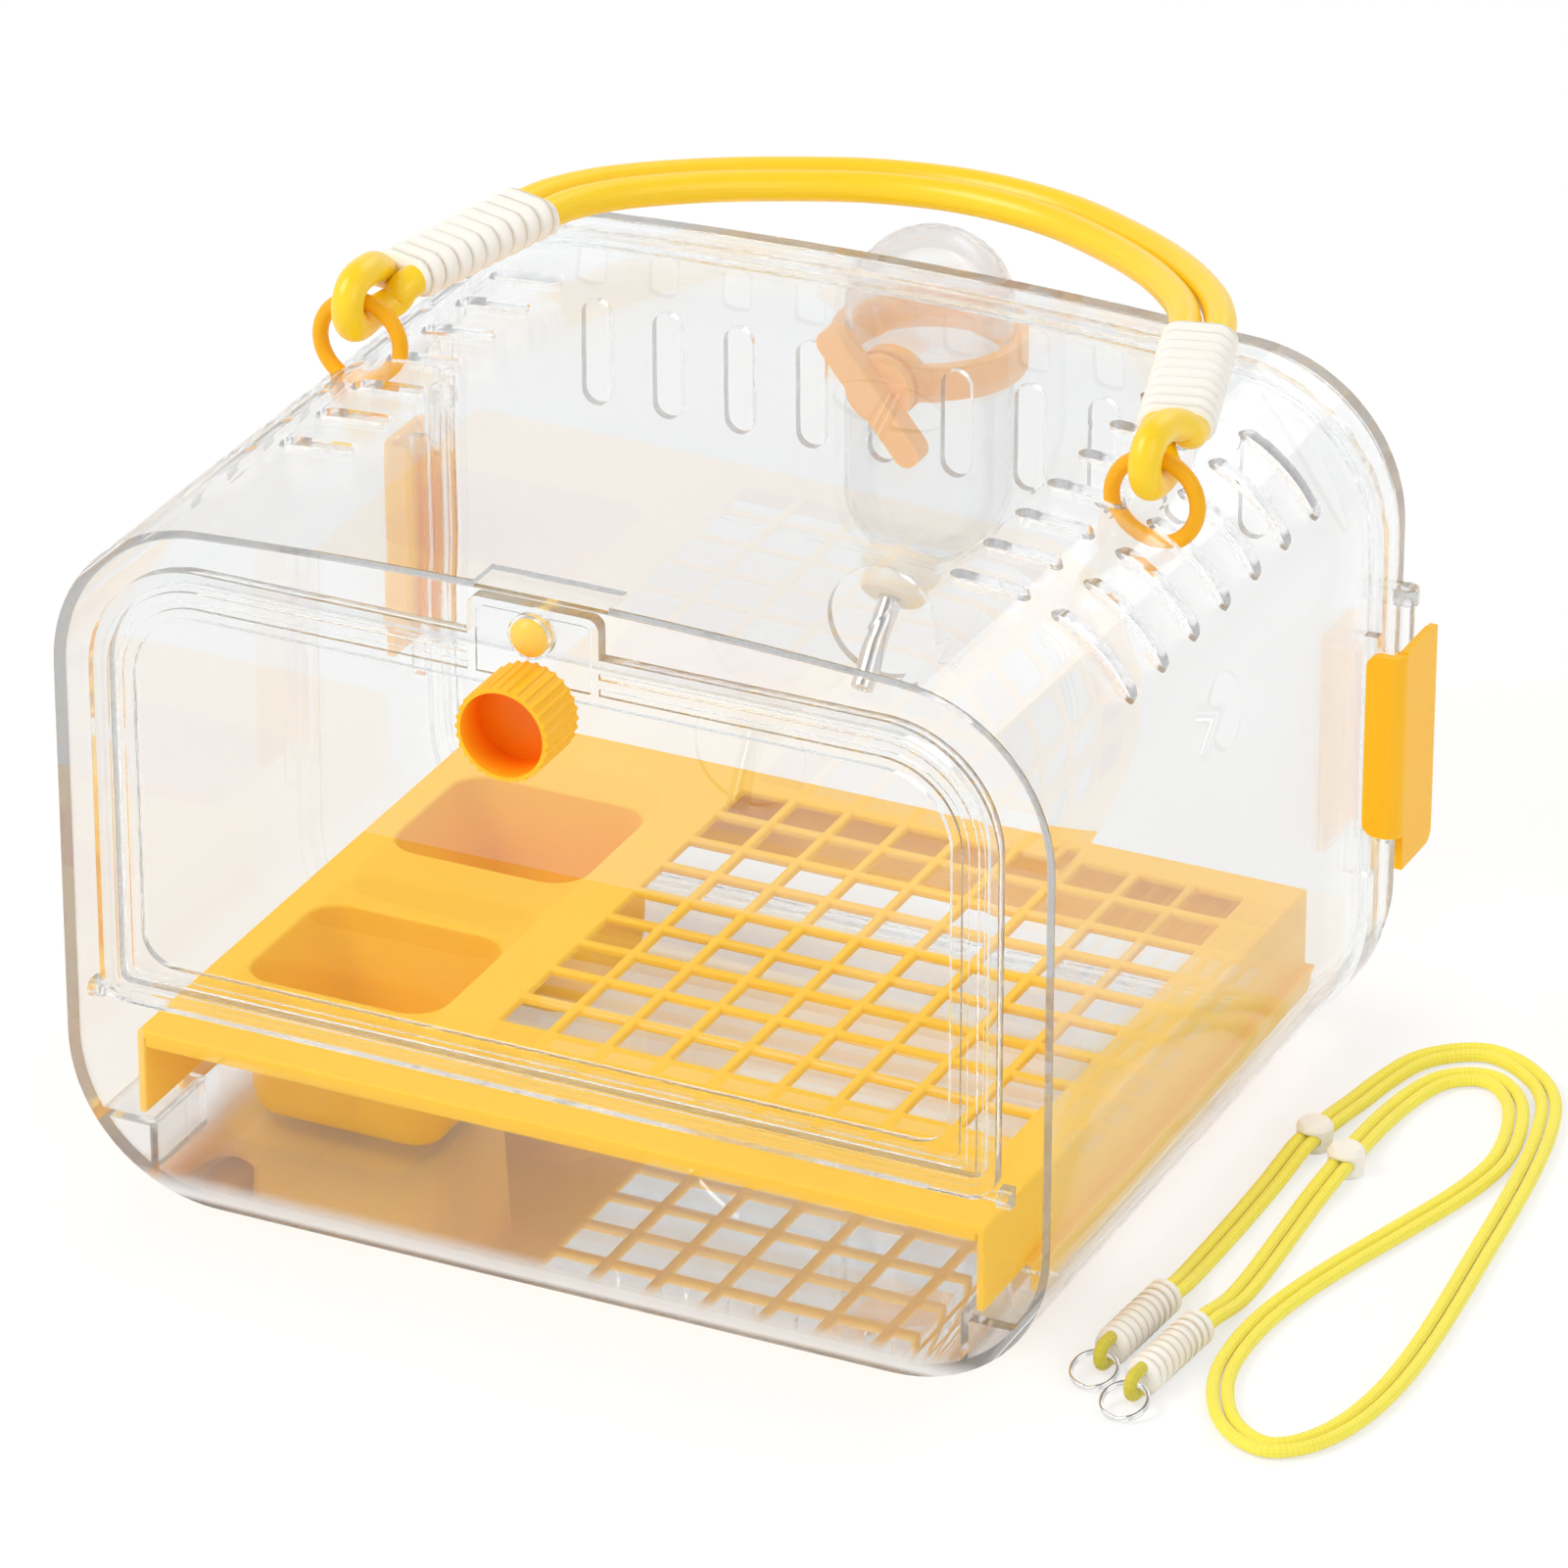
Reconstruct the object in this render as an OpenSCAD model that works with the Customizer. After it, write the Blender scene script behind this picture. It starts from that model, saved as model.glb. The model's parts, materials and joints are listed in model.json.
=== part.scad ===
// Clear travel carrier for a small bird: a tunnel-shaped cabin with a drop-down
// front door, a lift-out deck with two food cups and a grate, a rear cover held
// by two side clips, a clamped water bottle, a cord handle and a shoulder strap.
// Millimetres. X runs to the right, Y to the back, Z up from the ground.

/* [Cabin] */
// Outside width of the cabin
cabin_w = 260; // [250:1:270]
// Outside height at the middle of the roof
cabin_h = 184; // [180:1:190]
// Outside length from the front wall to the back wall
cabin_l = 210; // [206:1:220]
// Wall of the clear mouldings
wall = 2.5; // [2:0.1:3]
// Rise of the roof from its sides to its middle
roof_crown = 6; // [4:0.5:8]
// Outside radius of the long roof edges
roof_r = 42; // [40:0.5:44]
// Outside radius of the long floor edges
floor_r = 40; // [38:0.5:42]
// Depth of the rear cover
cover_l = 13.7; // [12:0.1:16]
// Gap at the seam between the cabin and its rear cover
seam_gap = 0.3; // [0.2:0.05:0.5]
// How far the seam flanges stand out of the walls
flange_h = 1.5; // [1:0.1:2]
// Length of each seam flange
flange_l = 6.6; // [5:0.1:8]
// Height of the shelves in the front corners
ledge_z = 20; // [18:0.5:24]
// Length of the shelves in the front corners
ledge_l = 24.5; // [18:0.5:30]

/* [Roof vents] */
// Vents in each row
vent_n = 7; // [5:1:8]
// Distance between vents
vent_pitch = 18.3; // [16:0.1:20]
// Width of one roof vent
vent_w = 5; // [4.8:0.1:6]
// Place of the middle vent, behind the middle of the cabin
vent_y = 6; // [2:0.5:10]
// Where the flat vents start, from the middle of the roof
vent_x = 78; // [76:0.5:84]

/* [Front door] */
// Distance from the door's side edges to the sides of the cabin
door_side = 12; // [11:0.5:16]
// Distance from the door's upper edge up to the top of the roof
door_down = 11.5; // [10:0.5:14]
// Height of the door's lower edge above the ground
door_z = 54; // [52:0.5:56]
// Outside radius of the door's upper corners
door_rt = 30; // [26:0.5:32]
// Outside radius of the door's lower corners
door_rb = 7; // [6:0.5:8]
// Width of the ring round the door's window
ring_w = 12; // [11:0.5:13]
// How far the door laps over the front wall
door_lap = 4; // [3:0.5:5]
// Thickness of the door's ring
door_t = 2.8; // [2.4:0.1:3.2]
// Height of the beads on the ring
bead_h = 0.9; // [0.6:0.1:1.2]
// Thickness of the door's window
window_t = 1.8; // [1.5:0.1:2.2]
// Width of the finger tab at the top of the door
tab_w = 34; // [28:1:40]
// Height of the hinge axis above the door's lower edge
hinge_up = 1.2; // [1:0.1:1.4]
// Radius of the hinge pins moulded on the door
hinge_pin_r = 1.2; // [1:0.05:1.3]

/* [Latch and knob] */
// Radius of the domed latch button
button_r = 4.8; // [4.2:0.1:5.2]
// Travel of the latch button
button_travel = 1.4; // [1:0.1:1.5]
// Outside radius of the hollow knob
knob_r = 12; // [11:0.5:12.5]
// Length of the knob
knob_l = 16; // [14:0.5:20]
// Wall of the knob
knob_wall = 1.4; // [1.2:0.1:1.8]
// Grip ribs round the knob
knob_ribs = 30; // [20:1:36]
// Distance from the door's upper edge down to the knob's axis
knob_down = 15.5; // [14.5:0.5:17.5]
// Height of the latch button above the knob's axis
button_up = 18.5; // [18:0.1:19]

/* [Deck] */
// Distance from the deck's side edges to the sides of the cabin
deck_side = 15; // [14:0.5:18]
// Height of the deck's top above the ground
deck_z = 43; // [42:0.5:46]
// Thickness of the deck
deck_t = 2.4; // [2:0.1:3]
// Thickness of the skirts below the deck
skirt_t = 2.2; // [1.8:0.1:2.6]
// Outward step of the rear skirts
skirt_step = 3; // [2:0.1:4]
// Gap between the deck and the walls in front of it
deck_gap = 1; // [0.5:0.1:2]
// Gap between the deck and the lip of the rear cover
deck_end = 0.5; // [0.4:0.1:4]
// Height of the front lip
lip_h = 4.5; // [3.5:0.1:6]
// Distance between the grate's bars
grate_pitch = 15.4; // [15:0.1:15.6]
// Width of the grate's bars
grate_bar = 2.6; // [2:0.1:3.2]
// Width of the mouth of both cups
cup_w = 53; // [46:1:55]
// Length of the mouth of the front cup
cup_l_front = 44; // [38:1:48]
// Length of the mouth of the rear cup
cup_l_rear = 46; // [40:1:50]
// Corner radius of the cups
cup_r = 9; // [7:0.5:11]
// Wall of the cups
cup_wall = 1.8; // [1.4:0.1:2.2]

/* [Rear cover and clips] */
// Slots in the rear wall
slot_n = 10; // [8:2:10]
// Distance between the slots in the rear wall
slot_pitch = 20; // [18:0.5:21]
// Width of the slots in the rear wall
slot_w = 8; // [7:0.1:9]
// Height of the slots in the rear wall
slot_h = 29; // [26:0.5:32]
// Distance from the top of the roof down to the slots' upper ends
slot_down = 28; // [25:0.5:31]
// Radius of the drinking port
port_r = 15; // [14.5:0.1:17]
// Radius of the clips' hinge rods
rod_r = 1.85; // [1.6:0.05:2]
// Height of the clips
clip_h = 59.5; // [52:0.5:61]
// Lower end of the clips above the ground
clip_z = 57; // [54:0.5:59]
// Thickness of the clips
clip_t = 2.2; // [1.8:0.1:2.6]
// Reach of the clips from hinge rod to front arm
clip_reach = 19.5; // [18.6:0.1:20.5]

/* [Water bottle] */
// Outside radius of the bottle
bottle_r = 21.5; // [20:0.5:22]
// Wall of the bottle
bottle_wall = 1.6; // [1.2:0.1:2]
// Height of the bottle's straight side
bottle_h = 49; // [46:1:60]
// Distance from the top of the roof down to the middle of the bottle's round lower end
bottle_down = 74; // [73:0.5:75]
// Gap between the bottle and the rear wall
bottle_gap = 5; // [4.9:0.1:6]
// Tilt of the neck from straight down
neck_tilt = 45; // [43:0.5:47]
// Radius of the neck
neck_r = 7; // [6:0.1:7.2]
// Outside radius of the cap
cap_r = 9.5; // [9:0.1:9.8]
// Radius of the steel drinking tube
spout_r = 3; // [2.6:0.1:3.2]
// Length of the drinking tube
spout_l = 29; // [26:0.5:32]
// Radius of the valve ball
ball_r = 2.2; // [1.9:0.05:2.25]
// Height of the bottle clamp's band
band_h = 9.5; // [8:0.5:11]
// Thickness of the bottle clamp's band
band_t = 3.1; // [2.6:0.1:3.5]
// Length of the clamp's wing
wing_l = 40.5; // [34:0.5:42]
// Width of the clamp's wing
wing_w = 7; // [6:0.1:9]
// Thickness of the clamp's wing
wing_t = 6.5; // [4:0.1:7]

/* [Handle] */
// Radius of the handle's cord
cord_r = 4; // [3.5:0.1:4]
// Mean radius of the rings that hold the handle
ring_r = 11; // [10.8:0.1:11.4]
// Radius of the rings' wire
ring_wire = 2; // [1.7:0.05:2.1]
// Ribs on each handle sleeve
sleeve_ribs = 10; // [8:1:12]

/* [Shoulder strap] */
// Radius of one strap cord
strap_r = 1.6; // [1.4:0.05:1.6]
// Ribs on each strap sleeve
strap_ribs = 9; // [7:1:11]
// Length of each strap sleeve
strap_sleeve_l = 29; // [25:0.5:30]
// Outside radius of each strap sleeve
strap_sleeve_r = 4.7; // [4.4:0.1:5]

/* [Hidden] */
$fn = 64;
CLEAR = [0.86, 0.91, 0.94, 0.35];
YELLOW = [1, 0.72, 0.2];
DEEP_YELLOW = [1, 0.62, 0.1];
APRICOT = [1, 0.66, 0.3];
WHITE = [0.96, 0.95, 0.93];
STEEL = [0.75, 0.76, 0.78];
seat = 0.3;
run = 0.05;
eps = 0.5;

half_w = cabin_w / 2;
front_y = -cabin_l / 2;
back_y = cabin_l / 2;
cover_y = back_y - cover_l;
seam_y = cover_y - seam_gap;
crown_r = (half_w * half_w + roof_crown * roof_crown) / (2 * roof_crown);
crown_z = cabin_h - crown_r;
roof_cx = half_w - roof_r;
roof_cz = crown_z + sqrt(pow(crown_r - roof_r, 2) - pow(roof_cx, 2));
crown_a = atan2(roof_cz - crown_z, roof_cx);
floor_cx = half_w - floor_r;
function floor_at(x) = floor_r - sqrt(pow(floor_r - wall, 2) - pow(max(x - floor_cx, 0), 2));

door_w = cabin_w - 2 * door_side;
door_h = cabin_h - door_down - door_z;
slot_z = cabin_h - slot_down - slot_h;
bottle_z = cabin_h - bottle_down;

vent_a_top = 76.5;
vent_a_high = 66;
vent_a_low = 28;
ring_a = 67.9;
ring_off = roof_r - wall / 2 + 5.7;
ring_x = roof_cx + ring_off * cos(ring_a);
ring_z = roof_cz + ring_off * sin(ring_a);
axis_z = ring_z + ring_r;

door_gap = 0.6;
door_back = front_y - door_gap;
door_front = door_back - door_t;
bead_front = door_front - bead_h;
hinge_y = door_back - 1.8;
hinge_z = door_z + hinge_up;
lug_x = door_w / 2 + 0.4;
lug_t = 3;
tab_z = cabin_h - 1.5;
tab_low = door_z + door_h - ring_w + 2;
knob_z = door_z + door_h - knob_down;
knob_back = bead_front - seat;
knob_floor = 6;
stud_r = 3;
button_z = knob_z + button_up;
boss_r = button_r + 0.9;
boss_front = door_front - 2.5;
button_stem = 2.4;

lip_l = 3;
deck_y = front_y + wall + deck_gap;
deck_back = seam_y - lip_l - deck_end;
deck_l = deck_back - deck_y;
deck_w = cabin_w - 2 * wall - 2 * deck_side;
deck_hw = deck_w / 2;
skirt_low = floor_at(deck_hw + skirt_step) + seat;
ledge_x = deck_hw - 5.5;
step_z = ledge_z + seat;
groove_in = 5.5;
grate_edge = 2.4;
grate_side = 10;
grate_behind = 8;
grate_ahead = 40;
cup_side = 6.7;
cup_ahead = 33.7;
cup_behind = 29.7;
cup_room = cup_side + cup_w + 2 * cup_wall + 10.7;
foot_r = 5.5;
grate_cols = floor((deck_w - cup_room - grate_side - grate_edge) / grate_pitch + 0.01);
grate_rows = floor((deck_l - grate_ahead - grate_behind - grate_edge) / grate_pitch + 0.01);
grate_w = grate_cols * grate_pitch + grate_edge;
grate_l = grate_rows * grate_pitch + grate_edge;
grate_x = deck_hw - grate_side - grate_w / 2;
grate_y = deck_back - grate_behind - grate_l / 2;
cup_x = -deck_hw + cup_side + cup_wall + cup_w / 2;
cup_z = floor_at(cup_w / 2 + cup_wall - foot_r - cup_x) + seat;
cup_y_front = deck_y + cup_ahead + cup_wall + cup_l_front / 2;
cup_y_rear = deck_back - cup_behind - cup_wall - cup_l_rear / 2;

bottle_x = -slot_pitch / 2;
bottle_y = back_y + bottle_gap + bottle_r;
neck_s = 28.5;
cap_s0 = 20.6;
cap_s1 = 33;
seal_t = 1.8;
clamp_z = slot_z + slot_h - 8;
wing_a = 51;
pad_r = 9;
stem_r = 3;

rod_x = half_w + 4.5;
rod_y = cover_y + flange_l / 2 + 2.4;
rod_low = clip_z - 0.6;
rod_high = clip_z + clip_h + 9.5;
sleeve_t = 0.9;
rod_lug = 4;
clip_low = rod_low + rod_lug + seat;
clip_back = rod_y + 3.4;
plate_x = rod_x + rod_r + run + sleeve_t + 1.8;
rib_h = 3.6;
rib_y = rod_y - clip_reach + clip_t + seat;

strap_gap = 1.75;
slider_z = 3.4;

// Pushes a shape drawn in X and Z from one Y to another
module along_y(y0, y1) {
  translate([0, y1, 0]) rotate([90, 0, 0]) linear_extrude(y1 - y0) children();
}

// A cylinder along Y
module pin_y(x, z, r, y0, y1) {
  translate([x, y1, z]) rotate([90, 0, 0]) cylinder(r = r, h = y1 - y0);
}

// A cylinder along X
module pin_x(y, z, r, x0, x1) {
  translate([x0, y, z]) rotate([0, 90, 0]) cylinder(r = r, h = x1 - x0);
}

// Both sides of the cabin
module each_side() {
  children();
  mirror([1, 0, 0]) children();
}

// Upright rectangle with its own upper and lower corner radii
module door_shape(w, z0, z1, rt, rb) {
  translate([-w / 2, z0 + rb]) square([w, z1 - rt - z0 - rb]);
  translate([-w / 2 + rt, z1 - rt - 0.01]) square([w - 2 * rt, rt + 0.01]);
  translate([-w / 2 + rb, z0]) square([w - 2 * rb, rb + 0.01]);
  for (s = [-1, 1]) {
    translate([s * (w / 2 - rt), z1 - rt]) circle(rt);
    translate([s * (w / 2 - rb), z0 + rb]) circle(rb);
  }
}

// Outline of the door, drawn in by an inset
module door_outline(inset, rb) {
  door_shape(door_w - 2 * inset, door_z + inset, door_z + door_h - inset,
    door_rt - inset, rb);
}

// Rounded slot along the first axis
module slot(length, width) {
  square([length - width, width], center = true);
  for (s = [-1, 1]) translate([s * (length - width) / 2, 0]) circle(width / 2);
}

// Rounded rectangle centred on the origin
module plate(w, l, r) {
  square([w - 2 * r, l], center = true);
  square([w, l - 2 * r], center = true);
  for (x = [-1, 1], y = [-1, 1]) translate([x * (w / 2 - r), y * (l / 2 - r)]) circle(r);
}

// Cross-section of the cabin, drawn in by an inset
module cabin_section(inset) {
  translate([-half_w + inset, floor_r]) square([cabin_w - 2 * inset, roof_cz - floor_r]);
  translate([-floor_cx, inset]) square([2 * floor_cx, floor_r - inset + 1]);
  for (s = [-1, 1]) {
    translate([s * floor_cx, floor_r]) circle(floor_r - inset);
    translate([s * roof_cx, roof_cz]) circle(roof_r - inset);
  }
  intersection() {
    translate([0, crown_z]) circle(crown_r - inset, $fn = 720);
    roof_wedge();
  }
}

// The part of the roof between its two rounded edges
module roof_wedge() {
  reach = 1.5 * roof_r;
  x1 = roof_cx + reach * cos(crown_a);
  z1 = roof_cz + reach * sin(crown_a);
  polygon([[-roof_cx, roof_cz - 1], [roof_cx, roof_cz - 1], [roof_cx, roof_cz],
    [x1, z1], [-x1, z1], [-roof_cx, roof_cz]]);
}

// Space above the ground
module above_ground() {
  translate([-cabin_w, -cabin_l, 0]) cube([2 * cabin_w, 2 * cabin_l, 2 * cabin_h]);
}

// Seam flange round the cabin, flat where it stands on the ground
module seam_flange(y0, y1) {
  intersection() {
    along_y(y0, y1) cabin_section(-flange_h);
    above_ground();
  }
}

function unit(v) = v / norm(v);

// Smooth curve through points, with a number of steps between each two
function spline(p, steps) = concat([for (i = [0:len(p) - 2], k = [0:steps - 1])
  let (a = p[max(i - 1, 0)], b = p[i], c = p[i + 1], d = p[min(i + 2, len(p) - 1)], t = k / steps)
  0.5 * (2 * b + (c - a) * t + (2 * a - 5 * b + 4 * c - d) * t * t
    + (3 * b - a - 3 * c + d) * t * t * t)], [p[len(p) - 1]]);

function tangents(p) = [for (i = [0:len(p) - 1])
  unit(p[min(i + 1, len(p) - 1)] - p[max(i - 1, 0)])];

// Side direction of each ring, carried from one ring to the next without twist
function carry(t, n, i = 0) = i == len(t) ? [] :
  let (m = unit(n - (n * t[i]) * t[i])) concat([m], carry(t, m, i + 1));

// Round tube along a route
module tube(p, r, sides, n0) {
  t = tangents(p);
  n = carry(t, n0);
  last = len(p) - 1;
  points = [for (i = [0:last], k = [0:sides - 1])
    let (a = 360 * k / sides) p[i] + r * (cos(a) * n[i] + sin(a) * cross(t[i], n[i]))];
  walls = [for (i = [0:last - 1], k = [0:sides - 1])
    let (a = i * sides + k, b = i * sides + (k + 1) % sides)
    each [[a, a + sides, b], [b, a + sides, b + sides]]];
  caps = [for (k = [1:sides - 2])
    each [[0, k, k + 1], [last * sides, last * sides + k + 1, last * sides + k]]];
  polyhedron(points, concat(walls, caps));
}

// Route moved sideways, level with the ground
function beside(p, d) = let (t = tangents(p))
  [for (i = [0:len(p) - 1]) p[i] + d * unit([t[i][1], -t[i][0], 0])];

// Middle of the handle's two strands, from the top of the arch to the right sleeve,
// measured from the hinge line
handle_mid = [[-0.23 * ring_x, 125.5, -2.1], [0, 129, -2.1], [0.23 * ring_x, 125.5, -2.1],
  [0.435 * ring_x, 115, -1.4], [0.605 * ring_x, 101.5, 0], [ring_x - 27.5, 86, 1.6],
  [ring_x - 19.9, 74, 2.3], [ring_x - 15.9, 63.8, 2.3], [ring_x - 9.05, 40.3, 1.15],
  [ring_x - 2.2, 16.8, 0]];
strand_gap = 4.25;
function rest(p) = [for (i = [1:len(p) - 1]) p[i]];
handle_out = rest(beside(handle_mid, -strand_gap));
handle_in = rest(beside(handle_mid, strand_gap));
turn_r = ring_wire + cord_r + 0.3;
// Turn of the cord round its ring, from the outer strand to the inner strand
handle_turn = [[ring_x + 1.5, 12, 3.6], [ring_x + 0.3, 6.5, 5.8],
  for (a = [0:36:180]) [ring_x, -turn_r * sin(a), turn_r * cos(a)],
  [ring_x - 0.3, 6.5, -5.8], [ring_x - 3.7, 11.5, -3.8]];
function back(p) = [for (i = [len(p) - 1:-1:0]) p[i]];
function flip(p) = [for (q = back(p)) [-q[0], q[1], q[2]]];
function part(p, i0, i1) = [for (i = [i0:i1]) p[i]];
// The cord starts and ends inside the left sleeve
handle_right = concat(handle_out, handle_turn, back(handle_in));
handle_left = flip(handle_right);
handle_join = len(handle_left) - len(handle_out) + 1;
handle_route = concat(part(handle_left, handle_join, len(handle_left) - 2), handle_right,
  part(handle_left, 1, handle_join - 1),
  [0.6 * handle_left[handle_join - 1] + 0.4 * handle_left[handle_join]]);

// Middle of the strap's two cords on the ground, from one sleeve to the other
strap_route = [[137, -51.2, 4.7], [137.5, -44, 4.1], [136.4, -32, 1.9], [136.5, -8, 1.7],
  [136.2, 16, 1.7], [136.4, 31, 3.1], [137.4, 39, 3.4], [138.2, 47, 3.1], [139.5, 62, 1.7],
  [145, 87, 1.7], [159, 98.5, 1.7], [174, 92, 1.7], [184, 77, 1.7], [190.5, 46, 1.7],
  [195, 4, 1.7], [199, -40, 1.7], [199, -70, 1.7], [194, -91, 1.7], [184, -101, 1.7],
  [171, -94, 1.7], [161.5, -74, 1.7], [160.5, -46, 1.7], [167, -15, 1.7], [178.5, 24, 1.7],
  [182.2, 50, 1.7], [176, 75, 1.7], [165, 86, 1.7], [154, 80, 1.7], [149.5, 62, 1.7],
  [149, 42, 2.8], [149.2, 30.5, 3.4], [149, 20, 3], [148.8, 5, 1.7], [150.5, -25, 1.7],
  [150.7, -42, 1.9], [150.2, -54, 4.1], [149.6, -61.2, 4.7]];
strap_outer = beside(spline(strap_route, 2), strap_gap);
strap_inner = beside(spline(strap_route, 2), -strap_gap);

// Places of what is on the strap, as points of its route
sleeve_a_start = strap_route[0];
sleeve_b_start = strap_route[len(strap_route) - 1];
slider_a_i = 6;
slider_b_i = 30;
slider_a_at = strap_route[slider_a_i];
slider_b_at = strap_route[slider_b_i];
function heading(a, b) = atan2(b[1] - a[1], b[0] - a[0]);
slider_a_turn = heading(strap_route[slider_a_i - 1], strap_route[slider_a_i + 1]);
slider_b_turn = heading(strap_route[slider_b_i - 1], strap_route[slider_b_i + 1]);
sleeve_a_turn = heading(strap_route[1], strap_route[0]);
sleeve_b_turn = heading(strap_route[len(strap_route) - 2], sleeve_b_start);
strap_turn_r = 2.7;
strap_loop_l = 2.4;
strap_ring_r = 5.6;
strap_ring_wire = 0.8;

// Flat vents across the roof and vents down its long edges
module roof_vents() {
  x1 = roof_cx + roof_r * cos(vent_a_top);
  mid_a = (vent_a_high + vent_a_low) / 2;
  chord = 2 * roof_r * sin((vent_a_high - vent_a_low) / 2);
  for (i = [0:vent_n - 1]) translate([0, vent_y + (i - (vent_n - 1) / 2) * vent_pitch, 0]) {
    translate([(vent_x + x1) / 2, 0, roof_cz + roof_r - wall - 8])
      linear_extrude(9 * wall) slot(x1 - vent_x, vent_w);
    translate([roof_cx, 0, roof_cz]) rotate([0, 90 - mid_a, 0])
      translate([0, 0, roof_r - wall - 5]) linear_extrude(wall + 10) slot(chord, vent_w);
  }
}

// Shelf in a front corner that carries the deck
module ledge() {
  intersection() {
    along_y(front_y + wall - eps, front_y + wall + ledge_l) cabin_section(wall / 2);
    along_y(front_y, front_y + wall + ledge_l) polygon([[ledge_x, 0], [ledge_x + 2, 0],
      [ledge_x + 2, ledge_z - 2.2], [half_w, ledge_z - 2.2], [half_w, ledge_z],
      [ledge_x, ledge_z]]);
  }
}

// Ear beside the door with the bore for its hinge pin
module hinge_lug() {
  lug_r = hinge_pin_r + 1.2;
  difference() {
    union() {
      pin_x(hinge_y, hinge_z, lug_r, lug_x, lug_x + lug_t);
      translate([lug_x, hinge_y, hinge_z - lug_r])
        cube([lug_t, front_y + eps - hinge_y, 2 * lug_r]);
    }
    pin_x(hinge_y, hinge_z, hinge_pin_r + run, lug_x - 1, lug_x + lug_t + 1);
  }
}

module shell() {
  color(CLEAR) union() {
    difference() {
      union() {
        along_y(front_y, seam_y) cabin_section(0);
        seam_flange(seam_y - flange_l, seam_y);
        each_side() translate([half_w - wall / 2, rib_y, clip_z - 3])
          cube([wall / 2 + rib_h, 3, clip_h + 6]);
      }
      along_y(front_y + wall, seam_y + 1) cabin_section(wall);
      along_y(front_y - 1, front_y + wall + 1) door_outline(door_lap, door_rb - door_lap);
      each_side() roof_vents();
      translate([-tab_w / 2 - eps, front_y - 1, tab_z]) cube([tab_w + 2 * eps, 4 * wall + 1, cabin_h]);
      pin_y(0, button_z, button_stem + 0.6, front_y - 1, front_y + wall + 1);
    }
    each_side() ledge();
    each_side() hinge_lug();
  }
}

// Arm that holds one end of a hinge rod
module rod_arm(z) {
  difference() {
    union() {
      translate([rod_x, rod_y, z]) cylinder(r = rod_r + 1, h = rod_lug);
      translate([half_w - wall / 2, rod_y - rod_r - 1, z])
        cube([rod_x - half_w + wall / 2, 2 * rod_r + 2, rod_lug]);
    }
    translate([rod_x, rod_y, z - 1]) cylinder(r = rod_r, h = rod_lug + 2);
  }
}

module rear_cover() {
  lip_in = wall + seat;
  color(CLEAR) union() {
    difference() {
      union() {
        along_y(cover_y, back_y) cabin_section(0);
        seam_flange(cover_y, cover_y + flange_l);
      }
      along_y(cover_y - 1, back_y - wall) cabin_section(wall);
      for (i = [0:slot_n - 1])
        translate([(i - (slot_n - 1) / 2) * slot_pitch, 0, slot_z + slot_h / 2])
          along_y(back_y - wall - 1, back_y + 1) rotate(90) slot(slot_h, slot_w);
      pin_y(bottle_x, bottle_z - bottle_y + back_y - wall / 2 + 0.2, port_r,
        back_y - wall - 1, back_y + 1);
    }
    difference() {
      along_y(seam_y - lip_l, cover_y + 2) cabin_section(lip_in);
      along_y(seam_y - lip_l - 1, cover_y + 3) cabin_section(lip_in + 1.4);
    }
    difference() {
      along_y(cover_y, cover_y + 2) cabin_section(wall / 2);
      along_y(cover_y - 1, cover_y + 3) cabin_section(lip_in + 1.4);
    }
    each_side() {
      rod_arm(rod_low);
      rod_arm(rod_high - rod_lug);
    }
  }
}

module door() {
  color(CLEAR) difference() {
    union() {
      along_y(door_front, door_back) difference() {
        door_outline(0, door_rb);
        door_outline(ring_w, door_rb + 1.5);
      }
      along_y(door_back - window_t, door_back) door_outline(ring_w - eps, door_rb + 1.5);
      for (b = [[0, 3.4], [5, 7.4], [9.2, ring_w]]) along_y(bead_front, door_front + eps)
        difference() {
          door_outline(b[0], max(door_rb - b[0], 2.5));
          door_outline(b[1], b[1] == ring_w ? door_rb + 1.5 : max(door_rb - b[1], 2));
          if (b[0] < 9) translate([-tab_w / 2, tab_low]) square([tab_w, ring_w]);
        }
      along_y(door_front, door_back) door_shape(tab_w, tab_low, tab_z, 3, 1);
      along_y(bead_front, door_front + eps) difference() {
        door_shape(tab_w, tab_low, tab_z, 3, 1);
        translate([0, -eps]) door_shape(tab_w - 4.4, tab_low - 1, tab_z - 1.7, 2, 1);
      }
      pin_y(0, button_z, boss_r, boss_front, door_back - eps);
      each_side() {
        pin_x(hinge_y, hinge_z, hinge_pin_r, door_w / 2 - door_rb - 1, lug_x + lug_t);
        pin_x(hinge_y, hinge_z, door_back - hinge_y + 0.1, door_w / 2 - 2.5 * door_rb,
          door_w / 2 - door_rb);
      }
    }
    pin_y(0, button_z, button_r + run, boss_front - 1, door_back - 1.6);
    pin_y(0, button_z, button_stem + run, boss_front - 1, door_back + 1);
    pin_y(0, knob_z, stud_r, door_front - 5, door_back + 1);
  }
}

module latch_button() {
  dome_h = 2.6;
  dome_r = (button_r * button_r + dome_h * dome_h) / (2 * dome_h);
  head_back = door_back - 1.6 - button_travel - 0.1;
  head_front = boss_front - 0.4;
  stem_back = front_y + wall - button_travel - 0.1;
  color(YELLOW) translate([0, stem_back, button_z]) rotate([90, 0, 0]) rotate_extrude() {
    square([button_stem, stem_back - head_back + eps]);
    translate([0, stem_back - head_back]) square([button_r, head_back - head_front]);
    translate([0, stem_back - head_front]) intersection() {
      translate([0, dome_h - dome_r]) circle(dome_r);
      translate([0, -eps]) square([button_r, dome_h + 1]);
    }
  }
}

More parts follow.
